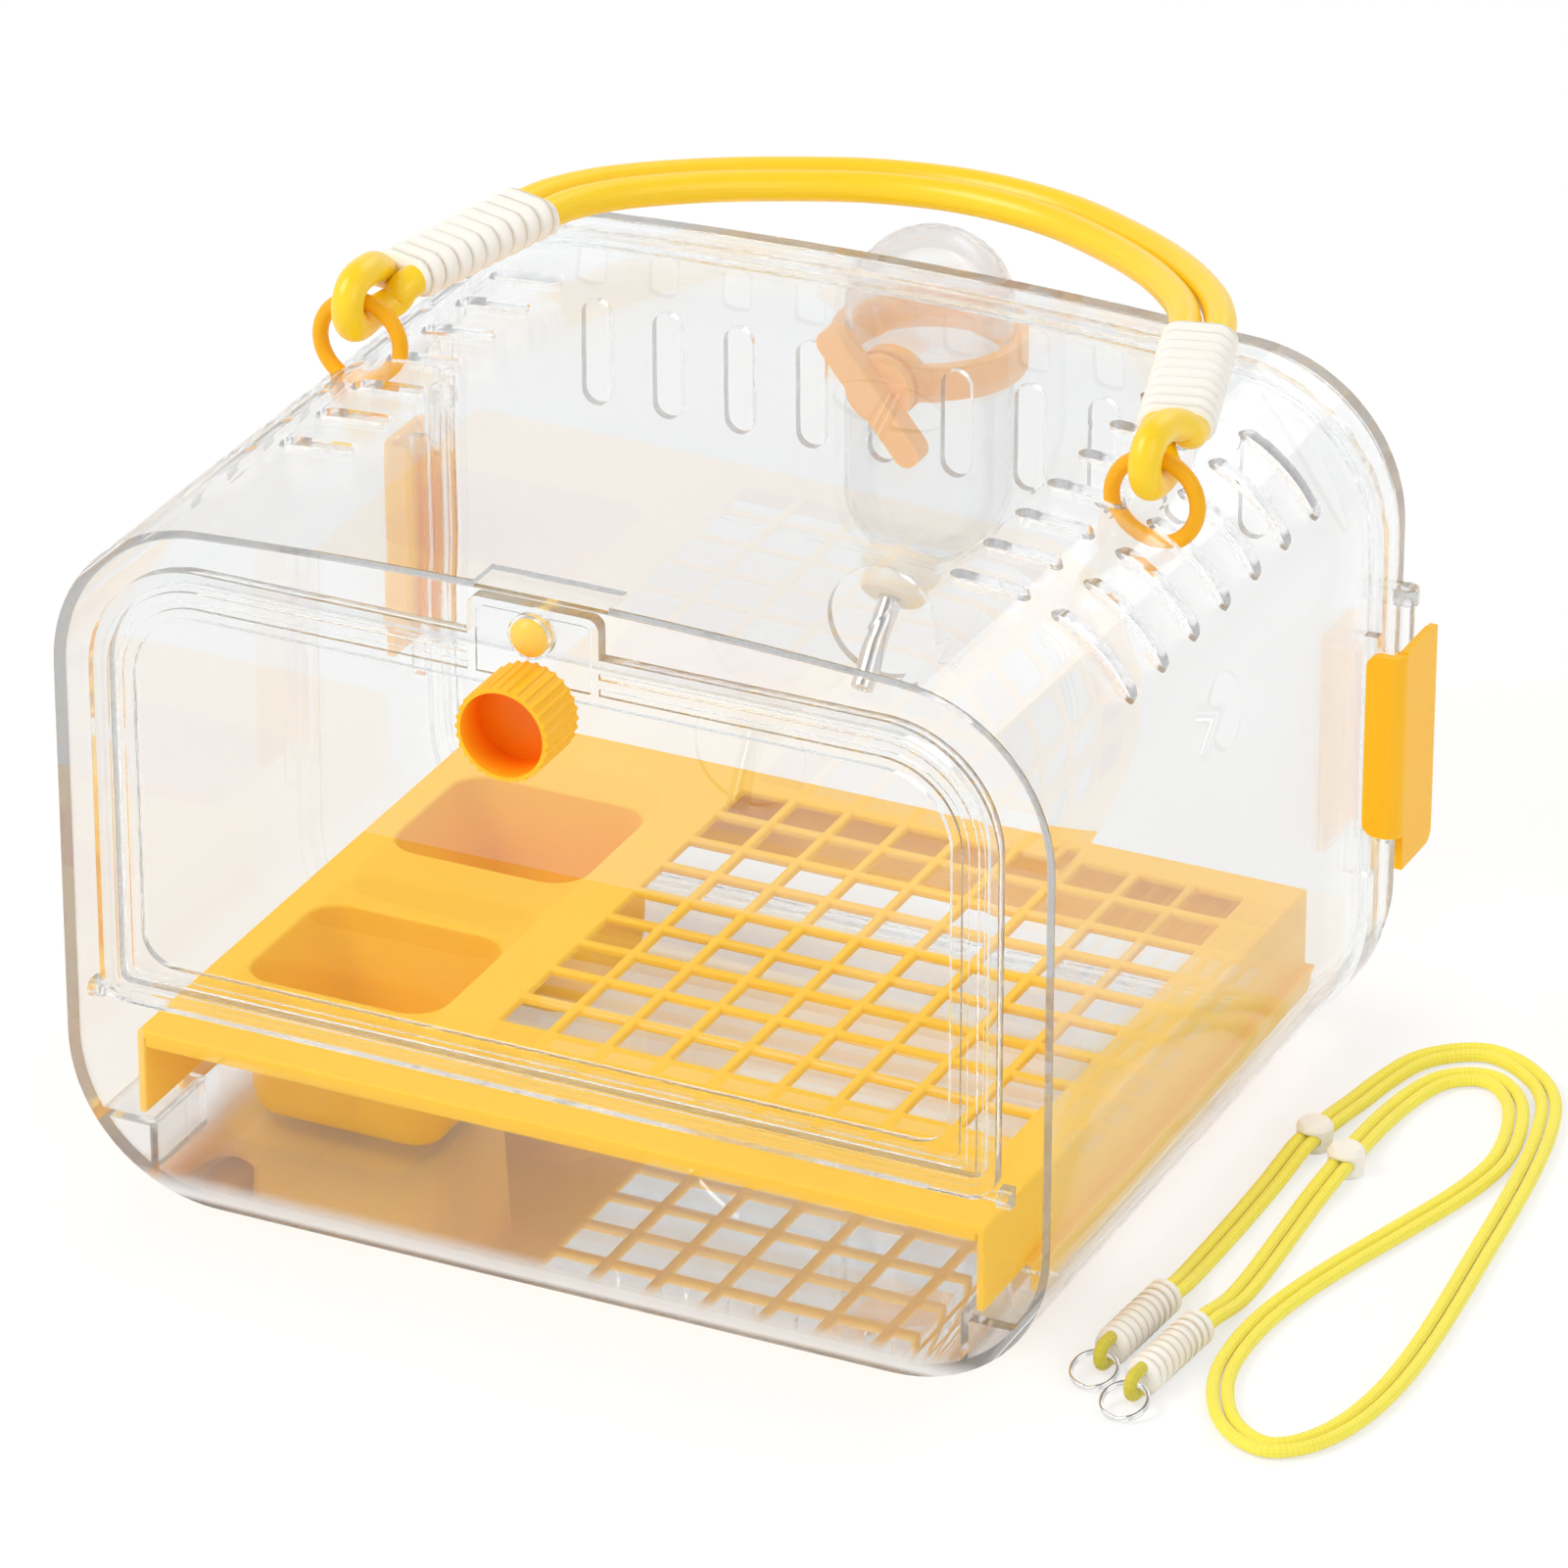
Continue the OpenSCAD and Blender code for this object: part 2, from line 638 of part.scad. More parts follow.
module knob() {
  front = knob_back - knob_l;
  color(DEEP_YELLOW) translate([0, 0, knob_z]) difference() {
    along_y(front, knob_back) {
      circle(knob_r - 0.5);
      for (i = [0:knob_ribs - 1]) rotate(i * 360 / knob_ribs)
        translate([knob_r - 0.7, 0]) circle(0.7, $fn = 16);
    }
    pin_y(0, 0, knob_r - knob_wall, front - 1, knob_back - knob_floor);
    pin_y(0, 0, stud_r + run, knob_back - 4.2, knob_back + 1);
  }
}

module knob_stud() {
  color(YELLOW) union() {
    pin_y(0, knob_z, stud_r, knob_back - 4, door_back + 0.2);
    pin_y(0, knob_z, 2 * stud_r, door_back + 0.1, door_back + 2);
  }
}

// Right-hand skirt of the deck, stepped outward where it stands beside the floor
module skirt() {
  x0 = deck_hw - skirt_t;
  along_y(deck_y, front_y + wall + ledge_l + 0.5) polygon([[x0, deck_z - eps],
    [deck_hw, deck_z - eps], [deck_hw, step_z], [x0, step_z]]);
  along_y(front_y + wall + ledge_l + 0.5, deck_back) polygon([[x0, deck_z - eps],
    [deck_hw, deck_z - eps], [deck_hw, step_z + skirt_t],
    [deck_hw + skirt_step, step_z + skirt_t], [deck_hw + skirt_step, skirt_low],
    [deck_hw + skirt_step - skirt_t, skirt_low], [deck_hw + skirt_step - skirt_t, step_z],
    [x0, step_z]]);
}

module deck() {
  color(YELLOW) difference() {
    union() {
      translate([0, deck_y + deck_l / 2, deck_z - deck_t]) linear_extrude(deck_t)
        plate(deck_w, deck_l, 2);
      translate([-deck_hw + 2, deck_y, deck_z - lip_h])
        cube([deck_w - 4, 2, lip_h - eps]);
      translate([-deck_hw + skirt_t / 2, deck_back - skirt_t, step_z])
        cube([deck_w - skirt_t, skirt_t, deck_z - step_z - eps]);
      each_side() skirt();
    }
    translate([cup_x, cup_y_front, deck_z - deck_t - 1]) linear_extrude(deck_t + 2)
      plate(cup_w + 2 * cup_wall, cup_l_front + 2 * cup_wall, cup_r + cup_wall);
    translate([cup_x, cup_y_rear, deck_z - deck_t - 1]) linear_extrude(deck_t + 2)
      plate(cup_w + 2 * cup_wall, cup_l_rear + 2 * cup_wall, cup_r + cup_wall);
    translate([grate_x, grate_y, deck_z]) cube([grate_w, grate_l, 4 * deck_t], center = true);
    translate([0, deck_y + groove_in, deck_z])
      cube([deck_w - 5 * groove_in, deck_t / 2, deck_t / 2], center = true);
  }
}

module grate() {
  color(YELLOW) translate([grate_x, grate_y, deck_z - deck_t]) linear_extrude(deck_t)
    difference() {
      square([grate_w, grate_l], center = true);
      for (i = [0:grate_cols - 1], j = [0:grate_rows - 1])
        translate([i - (grate_cols - 1) / 2, j - (grate_rows - 1) / 2] * grate_pitch)
          square(grate_pitch - grate_bar, center = true);
    }
}

// One level of a cup: length of its mouth, inset, height above the ground, thickness
module cup_level(l, inset, z, h) {
  for (x = [-1, 1], y = [-1, 1])
    translate([x * (cup_w / 2 - cup_r), y * (l / 2 - cup_r), z])
      cylinder(r = cup_r - inset, h = h, $fn = 32);
}

// Solid of a cup that narrows to a rounded foot
module cup_body(l, grow, top, foot) {
  hull() {
    cup_level(l, -grow, deck_z - deck_t, top - deck_z + deck_t);
    cup_level(l, 0.28 * foot_r - grow, foot + 1.2 * foot_r, foot_r / 10);
    cup_level(l, 0.52 * foot_r - grow, foot + 0.4 * foot_r, foot_r / 10);
    cup_level(l, foot_r - grow, foot, foot_r / 10);
  }
}

module cup(l) {
  difference() {
    cup_body(l, cup_wall, deck_z, cup_z);
    cup_body(l, 0, deck_z + 1, cup_z + cup_wall);
  }
}

module cup_front() {
  color(YELLOW) translate([cup_x, cup_y_front, 0]) cup(cup_l_front);
}

module cup_rear() {
  color(YELLOW) translate([cup_x, cup_y_rear, 0]) cup(cup_l_rear);
}

module clip_rod() {
  color(CLEAR) translate([rod_x, rod_y, rod_low - 1])
    cylinder(r = rod_r, h = rod_high - rod_low + 2);
}

module clip_rod_right() { clip_rod(); }
module clip_rod_left() { mirror([1, 0, 0]) clip_rod(); }

// Clip seen from above: plate, rounded front corner and arm
module clip_plan(arm) {
  y0 = rod_y - clip_reach;
  r = 4;
  outer = plate_x + clip_t;
  translate([plate_x, y0 + r]) square([clip_t, clip_back - y0 - r]);
  if (arm) {
    translate([half_w + flange_h + seat, y0])
      square([outer - r - half_w - flange_h - seat, clip_t]);
    intersection() {
      translate([outer - r, y0 + r]) difference() {
        circle(r);
        circle(r - clip_t);
      }
      translate([outer - r, y0]) square(r);
    }
  }
}

// Clip's plate seen from the side and its arm seen from the front, with round corners
module clip_sides() {
  y0 = rod_y - clip_reach;
  r = 3.5;
  intersection() {
    translate([0, 0, clip_z]) linear_extrude(clip_h) clip_plan(false);
    translate([plate_x - 1, (y0 + clip_back) / 2, clip_z + clip_h / 2]) rotate([90, 0, 90])
      linear_extrude(clip_t + 2) plate(clip_back - y0, clip_h, r);
  }
  arm_z = clip_z + 9.5;
  arm_h = clip_h - 10;
  arm_x = half_w + flange_h + seat;
  intersection() {
    translate([0, 0, arm_z]) linear_extrude(arm_h) clip_plan(true);
    along_y(y0 - 1, clip_back + 1) translate([(arm_x + plate_x + 4 * r) / 2, arm_z + arm_h / 2])
      plate(plate_x + 4 * r - arm_x, arm_h, r);
  }
}

module side_clip() {
  sleeve_r = rod_r + run + sleeve_t;
  sleeve_h = clip_z + clip_h - 9 - clip_low;
  color(DEEP_YELLOW) difference() {
    union() {
      clip_sides();
      translate([rod_x, rod_y, clip_low]) cylinder(r = sleeve_r, h = sleeve_h);
      translate([rod_x + rod_r / 2, rod_y - 1.5, clip_low])
        cube([plate_x - rod_x, clip_back - rod_y + 1, sleeve_h]);
    }
    translate([rod_x, rod_y, clip_z]) cylinder(r = rod_r + run, h = clip_h);
  }
}

module side_clip_right() { side_clip(); }
module side_clip_left() { mirror([1, 0, 0]) side_clip(); }

// Places a shape drawn up the Z axis on the tilted axis of the neck
module on_neck() {
  translate([bottle_x, bottle_y, bottle_z]) rotate([180 - neck_tilt, 0, 0]) children();
}

module bottle_body(inset) {
  translate([bottle_x, bottle_y, bottle_z]) {
    cylinder(r = bottle_r - inset, h = bottle_h);
    sphere(bottle_r - inset);
    translate([0, 0, bottle_h]) sphere(bottle_r - inset);
  }
}

module bottle() {
  color(CLEAR) difference() {
    union() {
      bottle_body(0);
      on_neck() cylinder(r = neck_r, h = neck_s);
    }
    bottle_body(bottle_wall);
    on_neck() cylinder(r = neck_r - 1.5, h = neck_s + 1);
  }
}

module bottle_cap() {
  color(WHITE) on_neck() difference() {
    union() {
      translate([0, 0, cap_s0]) cylinder(r = cap_r, h = cap_s1 - cap_s0 - 3);
      translate([0, 0, cap_s1 - 3]) cylinder(r1 = cap_r, r2 = cap_r - 1, h = 3);
    }
    translate([0, 0, cap_s0 - 1]) cylinder(r = neck_r + run, h = neck_s + seal_t + 1.1 - cap_s0);
    cylinder(r = spout_r, h = cap_s1 + 1);
  }
}

module cap_seal() {
  color([0.9, 0.9, 0.9]) on_neck() translate([0, 0, neck_s + run]) difference() {
    cylinder(r = neck_r - 0.1, h = seal_t);
    translate([0, 0, -1]) cylinder(r = spout_r, h = seal_t + 2);
  }
}

module drinking_tube() {
  s0 = neck_s - 1.5;
  bore = ball_r + 0.1;
  color(STEEL) on_neck() translate([0, 0, s0]) difference() {
    union() {
      cylinder(r = spout_r, h = spout_l);
      cylinder(r = neck_r - 1.8, h = 1.3);
    }
    translate([0, 0, -1]) cylinder(r = bore, h = spout_l + 1 - 1);
    cylinder(r = ball_r - 0.6, h = spout_l + 1);
  }
}

module valve_ball() {
  lip = ball_r - 0.6;
  s = neck_s - 1.5 + spout_l - 1 - sqrt(ball_r * ball_r - lip * lip) - 0.03;
  color(STEEL) on_neck() translate([0, 0, s]) sphere(ball_r);
}

module bottle_clamp() {
  band_r = bottle_r + seat;
  color(APRICOT) difference() {
    union() {
      translate([bottle_x, bottle_y, clamp_z - band_h / 2]) cylinder(r = band_r + band_t, h = band_h);
      pin_y(bottle_x, clamp_z, pad_r, back_y + seat, back_y + bottle_gap + 1.6);
    }
    translate([bottle_x, bottle_y, clamp_z - 2 * band_h]) cylinder(r = band_r, h = 4 * band_h);
    pin_y(bottle_x, clamp_z, stem_r + run, back_y, back_y + bottle_gap - 1);
  }
}

module clamp_wing() {
  face = back_y - wall - seat;
  color(APRICOT) union() {
    pin_y(bottle_x, clamp_z, pad_r, face - 3, face);
    pin_y(bottle_x, clamp_z, stem_r, face - 1, back_y + bottle_gap - 1.2);
    translate([bottle_x, 0, clamp_z]) rotate([0, wing_a, 0])
      along_y(face - 2.5 - wing_t, face - 2.5) slot(wing_l, wing_w);
  }
}

module ring() {
  color(DEEP_YELLOW) translate([ring_x, vent_y, ring_z]) rotate([90, 0, 0])
    rotate_extrude() translate([ring_r, 0]) circle(ring_wire, $fn = 32);
}

module ring_right() { ring(); }
module ring_left() { mirror([1, 0, 0]) ring(); }

module handle_cord() {
  color(YELLOW) translate([0, vent_y, axis_z])
    tube(spline(handle_route, 2), cord_r, 10, [0, 0, 1]);
}

// Ribbed sleeve that holds the handle's two strands side by side
module handle_sleeve() {
  a = handle_mid[len(handle_mid) - 1];
  b = handle_mid[len(handle_mid) - 3];
  length = norm(b - a);
  pitch = length / sleeve_ribs;
  rise = asin((b[2] - a[2]) / length);
  color(WHITE) translate([a[0], a[1] + vent_y, axis_z + a[2]])
    rotate([0, 90 - rise, heading(a, b)]) difference() {
      union() {
        linear_extrude(length) rotate(90) slot(2 * (strand_gap + cord_r + 0.6), 2 * cord_r + 1.2);
        for (i = [0:sleeve_ribs - 1]) translate([0, 0, i * pitch])
          linear_extrude(pitch * 0.68) rotate(90)
            slot(2 * (strand_gap + cord_r + 1.2), 2 * cord_r + 2.4);
      }
      translate([0, 0, -1]) linear_extrude(length + 2) rotate(90)
        slot(2 * (strand_gap + cord_r + 0.15), 2 * cord_r + 0.3);
    }
}

module handle_sleeve_right() { handle_sleeve(); }
module handle_sleeve_left() { mirror([1, 0, 0]) handle_sleeve(); }

module strap_cord_outer() {
  color([1, 0.92, 0.35]) tube(strap_outer, strap_r, 8, [0, 0, 1]);
}

module strap_cord_inner() {
  color([1, 0.92, 0.35]) tube(strap_inner, strap_r, 8, [0, 0, 1]);
}

// Places a shape drawn along X at an end of the strap, pointing away from the cords
module at_end(start, turn) {
  translate(start) rotate([0, 0, turn]) children();
}

module strap_sleeve() {
  pitch = strap_sleeve_l / strap_ribs;
  rib = pitch / 2;
  color(WHITE) rotate([0, 90, 0]) union() {
    cylinder(r = strap_sleeve_r - 0.7, h = strap_sleeve_l);
    for (i = [0:strap_ribs - 1]) translate([0, 0, (i + 0.5) * pitch]) rotate_extrude()
      translate([strap_sleeve_r - rib, 0]) circle(rib, $fn = 16);
  }
}

module strap_sleeve_a() { at_end(sleeve_a_start, sleeve_a_turn) strap_sleeve(); }
module strap_sleeve_b() { at_end(sleeve_b_start, sleeve_b_turn) strap_sleeve(); }

// Short loop of cord that leaves a sleeve and holds its ring
module strap_loop() {
  color([0.9, 0.82, 0.2]) translate([strap_sleeve_l, 0, 0]) union() {
    for (s = [-1, 1]) translate([0, 0, s * strap_turn_r]) rotate([0, 90, 0])
      cylinder(r = strap_r, h = strap_loop_l);
    translate([strap_loop_l, 0, 0]) rotate([90, 0, 0]) rotate(-90)
      rotate_extrude(angle = 180) translate([strap_turn_r, 0]) circle(strap_r, $fn = 24);
  }
}

module strap_loop_a() { at_end(sleeve_a_start, sleeve_a_turn) strap_loop(); }
module strap_loop_b() { at_end(sleeve_b_start, sleeve_b_turn) strap_loop(); }

// Metal ring that hangs in the loop and leans on the ground
module strap_ring() {
  near = sleeve_a_start[2];
  lean = asin((near - strap_ring_wire) / (2 * strap_ring_r));
  color(STEEL) translate([strap_sleeve_l + strap_loop_l, 0, 0]) rotate([0, lean, 0])
    translate([strap_ring_r, 0, 0]) rotate_extrude() translate([strap_ring_r, 0])
      circle(strap_ring_wire, $fn = 24);
}

module strap_ring_a() { at_end(sleeve_a_start, sleeve_a_turn) strap_ring(); }
module strap_ring_b() { at_end(sleeve_b_start, sleeve_b_turn) strap_ring(); }

// Round slider that both cords run through
module strap_slider() {
  h = 7;
  r = 4.6;
  color(WHITE) translate([0, 0, -slider_z]) difference() {
    union() {
      cylinder(r = r, h = h - 1.2);
      translate([0, 0, h - 1.2]) cylinder(r1 = r, r2 = r - 1, h = 1.2);
    }
    translate([0, 0, slider_z]) rotate([0, 90, 0]) translate([0, 0, -2 * r]) linear_extrude(4 * r)
      rotate(90) slot(2 * (strap_gap + strap_r) + 0.2, 2 * strap_r + 0.2);
  }
}

module strap_slider_a() { translate(slider_a_at) rotate([0, 0, slider_a_turn]) strap_slider(); }
module strap_slider_b() { translate(slider_b_at) rotate([0, 0, slider_b_turn]) strap_slider(); }

shell();
rear_cover();
door();
latch_button();
knob();
knob_stud();
deck();
grate();
cup_front();
cup_rear();
clip_rod_left();
clip_rod_right();
side_clip_left();
side_clip_right();
bottle();
bottle_cap();
cap_seal();
drinking_tube();
valve_ball();
bottle_clamp();
clamp_wing();
ring_left();
ring_right();
handle_cord();
handle_sleeve_left();
handle_sleeve_right();
strap_cord_outer();
strap_cord_inner();
strap_sleeve_a();
strap_sleeve_b();
strap_loop_a();
strap_loop_b();
strap_ring_a();
strap_ring_b();
strap_slider_a();
strap_slider_b();
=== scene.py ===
"""Clear travel carrier for a small bird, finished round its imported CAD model.

Metres. X runs to the right, Y to the back, Z up from the ground.
"""

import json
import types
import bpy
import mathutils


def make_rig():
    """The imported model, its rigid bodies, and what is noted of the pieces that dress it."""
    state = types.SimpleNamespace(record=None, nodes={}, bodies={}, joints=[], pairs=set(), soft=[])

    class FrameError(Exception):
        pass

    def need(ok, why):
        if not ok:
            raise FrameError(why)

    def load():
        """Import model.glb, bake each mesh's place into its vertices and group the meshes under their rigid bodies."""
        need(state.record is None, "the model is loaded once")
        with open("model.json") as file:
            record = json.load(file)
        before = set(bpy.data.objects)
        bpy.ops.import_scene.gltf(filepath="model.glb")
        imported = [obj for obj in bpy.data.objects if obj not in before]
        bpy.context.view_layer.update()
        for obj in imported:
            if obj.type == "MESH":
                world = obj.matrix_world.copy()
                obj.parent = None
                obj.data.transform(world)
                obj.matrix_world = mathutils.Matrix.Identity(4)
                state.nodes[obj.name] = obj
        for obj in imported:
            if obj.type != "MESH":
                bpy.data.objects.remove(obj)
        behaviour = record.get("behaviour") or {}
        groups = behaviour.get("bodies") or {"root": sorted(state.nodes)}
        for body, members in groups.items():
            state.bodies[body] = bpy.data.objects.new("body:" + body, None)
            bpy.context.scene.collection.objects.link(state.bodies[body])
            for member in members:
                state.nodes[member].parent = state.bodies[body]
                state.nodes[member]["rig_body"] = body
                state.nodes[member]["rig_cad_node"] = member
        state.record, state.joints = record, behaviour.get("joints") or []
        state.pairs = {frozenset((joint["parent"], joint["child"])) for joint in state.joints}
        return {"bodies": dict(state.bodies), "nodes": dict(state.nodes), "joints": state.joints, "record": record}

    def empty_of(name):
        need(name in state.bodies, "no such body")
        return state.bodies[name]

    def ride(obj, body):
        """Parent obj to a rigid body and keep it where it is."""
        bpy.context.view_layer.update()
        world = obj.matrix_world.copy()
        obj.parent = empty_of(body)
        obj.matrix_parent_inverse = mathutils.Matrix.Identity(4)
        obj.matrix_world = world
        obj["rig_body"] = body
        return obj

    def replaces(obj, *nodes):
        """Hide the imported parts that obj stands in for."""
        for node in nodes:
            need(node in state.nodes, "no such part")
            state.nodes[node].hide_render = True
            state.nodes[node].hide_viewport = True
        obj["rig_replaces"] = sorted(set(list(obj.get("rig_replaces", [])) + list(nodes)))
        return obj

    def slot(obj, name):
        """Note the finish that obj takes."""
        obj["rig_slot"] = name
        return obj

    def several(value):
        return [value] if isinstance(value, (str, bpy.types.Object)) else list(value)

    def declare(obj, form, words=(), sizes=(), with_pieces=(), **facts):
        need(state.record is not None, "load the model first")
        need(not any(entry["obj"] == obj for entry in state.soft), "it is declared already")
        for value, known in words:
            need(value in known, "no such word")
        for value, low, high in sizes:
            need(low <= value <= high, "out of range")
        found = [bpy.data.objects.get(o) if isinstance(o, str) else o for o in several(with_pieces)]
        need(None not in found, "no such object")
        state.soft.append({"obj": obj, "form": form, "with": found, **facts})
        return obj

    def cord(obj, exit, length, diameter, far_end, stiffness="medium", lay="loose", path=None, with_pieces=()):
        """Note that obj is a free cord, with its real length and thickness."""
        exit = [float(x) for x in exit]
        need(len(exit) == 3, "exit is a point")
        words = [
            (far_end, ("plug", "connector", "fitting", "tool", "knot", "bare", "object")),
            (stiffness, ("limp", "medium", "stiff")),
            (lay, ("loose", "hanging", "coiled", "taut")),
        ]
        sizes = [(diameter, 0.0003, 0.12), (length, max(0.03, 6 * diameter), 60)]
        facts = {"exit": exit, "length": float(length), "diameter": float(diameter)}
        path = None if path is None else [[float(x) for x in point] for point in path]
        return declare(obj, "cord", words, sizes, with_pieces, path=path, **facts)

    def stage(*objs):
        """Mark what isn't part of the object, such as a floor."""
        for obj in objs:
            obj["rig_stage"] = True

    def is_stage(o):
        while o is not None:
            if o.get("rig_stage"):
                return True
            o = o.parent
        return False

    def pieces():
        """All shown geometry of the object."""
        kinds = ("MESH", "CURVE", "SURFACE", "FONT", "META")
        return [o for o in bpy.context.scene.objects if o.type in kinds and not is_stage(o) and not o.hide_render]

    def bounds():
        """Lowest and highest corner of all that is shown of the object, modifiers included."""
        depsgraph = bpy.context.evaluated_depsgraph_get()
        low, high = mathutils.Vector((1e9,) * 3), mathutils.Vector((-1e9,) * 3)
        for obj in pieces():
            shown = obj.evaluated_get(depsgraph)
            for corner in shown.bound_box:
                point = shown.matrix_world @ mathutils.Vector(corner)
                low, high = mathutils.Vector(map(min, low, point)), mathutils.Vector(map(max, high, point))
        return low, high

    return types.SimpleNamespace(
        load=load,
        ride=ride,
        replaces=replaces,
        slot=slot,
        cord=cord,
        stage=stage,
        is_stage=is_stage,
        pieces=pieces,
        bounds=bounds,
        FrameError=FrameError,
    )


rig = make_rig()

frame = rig.load()

import json
import math

import bmesh
import bpy
import numpy as np
from mathutils import Matrix, Vector

CAD_BOX = [list(corner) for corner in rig.bounds()]
NODES = frame["nodes"]
MM = 0.001
SHARP = math.radians(35)

bl_info = {
    "name": "Bird travel carrier",
    "version": (1, 0, 0),
    "blender": (4, 5, 0),
    "location": "3D View > Sidebar > Carrier",
    "description": "Builds the finishes and the detailed pieces of a clear bird travel carrier",
    "category": "Object",
}


def srgb(*channels):
    """A display colour from 0 to 255 as the linear colour that Blender uses."""
    return tuple(
        c / 255 / 12.92 if c / 255 <= 0.04045 else ((c / 255 + 0.055) / 1.055) ** 2.4
        for c in channels
    )


# Settings


def colour_property(name, description, default):
    """A colour that a user can pick."""
    return bpy.props.FloatVectorProperty(
        name=name, description=description, default=default,
        size=3, min=0, max=1, subtype="COLOR",
    )


def number_property(name, description, default, low, high, unit="NONE"):
    """A number that a user can set."""
    return bpy.props.FloatProperty(
        name=name, description=description, default=default,
        min=low, max=high, unit=unit, precision=5,
    )


def length_property(name, description, default, low, high):
    """A length that a user can set, in metres."""
    return number_property(name, description, default, low, high, "LENGTH")


class CarrierColours(bpy.types.PropertyGroup):
    """Colours of the carrier's plastics and cords."""

    clear: colour_property("Clear plastic", "Tint of the clear mouldings", (0.965, 0.975, 0.98))
    tray: colour_property("Tray", "Deck, grate and food cups", srgb(255, 199, 50))
    knob: colour_property("Knob", "Knob and its stud", srgb(255, 190, 36))
    # Painted shade: the darker, more orange colour that the knob takes inside its hollow
    knob_hollow_shade: colour_property("Knob's hollow", "Deeper colour inside the knob", srgb(255, 136, 4))
    button: colour_property("Latch button", "Translucent button above the knob", srgb(255, 206, 92))
    clip: colour_property("Side clips", "The two clips of the rear cover", srgb(255, 190, 34))
    clamp: colour_property("Clamp", "Band and wing that hold the bottle", srgb(252, 188, 104))
    ring: colour_property("Rings", "Rings that hold the handle", srgb(246, 176, 14))
    handle: colour_property("Handle cord", "Smooth cord of the handle", srgb(255, 210, 18))
    strap: colour_property("Strap cord", "Braided cord of the shoulder strap", srgb(255, 238, 84))
    strap_loop: colour_property("Strap loops", "Short loops that hold the split rings", srgb(214, 200, 62))
    white: colour_property("White trims", "Cap, sleeves and sliders", srgb(248, 244, 237))


class CarrierSizes(bpy.types.PropertyGroup):
    """Sizes of the details that the finished pieces add to the CAD solids."""

    clear_round: length_property(
        "Clear edge rounding", "Rounding of the clear mouldings' edges", 0.0008, 0.0001, 0.001)
    door_round: length_property(
        "Door edge rounding", "Rounding of the front door's edges", 0.0003, 0.0001, 0.001)
    plastic_round: length_property(
        "Plastic edge rounding", "Rounding of the coloured mouldings' edges", 0.0004, 0.0001, 0.001)
    tray_round: length_property(
        "Tray edge rounding", "Rounding of the tray's edges", 0.0008, 0.0001, 0.0009)
    rib_depth: length_property(
        "Sleeve rib depth", "Depth of the grooves between a sleeve's ribs", 0.0014, 0.0002, 0.0016)
    braid_pitch: length_property(
        "Braid pitch", "Length of one repeat of the strap's braid", 0.0026, 0.001, 0.006)


class CarrierStage(bpy.types.PropertyGroup):
    """Light, floor and camera."""

    ambient: number_property("Ambient light", "Strength of the light from all round", 0.62, 0, 2)
    key_power: number_property("Key light", "Power of the large lamp on the left", 22.0, 0, 200, "POWER")
    fill_power: number_property("Fill light", "Power of the lamp on the right", 7.0, 0, 200, "POWER")
    floor: colour_property("Floor", "Colour of the floor", (0.99, 0.99, 0.99))
    lens: number_property("Lens", "Focal length of the camera", 214.65, 20, 400, "CAMERA")


def colours():
    """The colours in use."""
    return bpy.context.scene.carrier_colours


def sizes():
    """The sizes in use."""
    return bpy.context.scene.carrier_sizes


# Shader nodes


class Reading:
    """A number that varies over a surface. Arithmetic on it adds Math nodes to its finish."""

    def __init__(self, finish, socket):
        self.finish = finish
        self.socket = socket

    def maths(self, operation, *values):
        return self.finish.maths(operation, *values)

    def __add__(self, other):
        return self.maths("ADD", self, other)

    __radd__ = __add__

    def __sub__(self, other):
        return self.maths("SUBTRACT", self, other)

    def __rsub__(self, other):
        return self.maths("SUBTRACT", other, self)

    def __mul__(self, other):
        return self.maths("MULTIPLY", self, other)

    __rmul__ = __mul__

    def __truediv__(self, other):
        return self.maths("DIVIDE", self, other)

    def __rtruediv__(self, other):
        return self.maths("DIVIDE", other, self)

    def __pow__(self, other):
        return self.maths("POWER", self, other)

    def __rpow__(self, other):
        return self.maths("POWER", other, self)

    def wave(self):
        """Sine of the number."""
        return self.maths("SINE", self)

    def size(self):
        """The number without its sign."""
        return self.maths("ABSOLUTE", self)

    def fraction(self):
        """What is left of the number above its whole part."""
        return self.maths("FRACT", self)


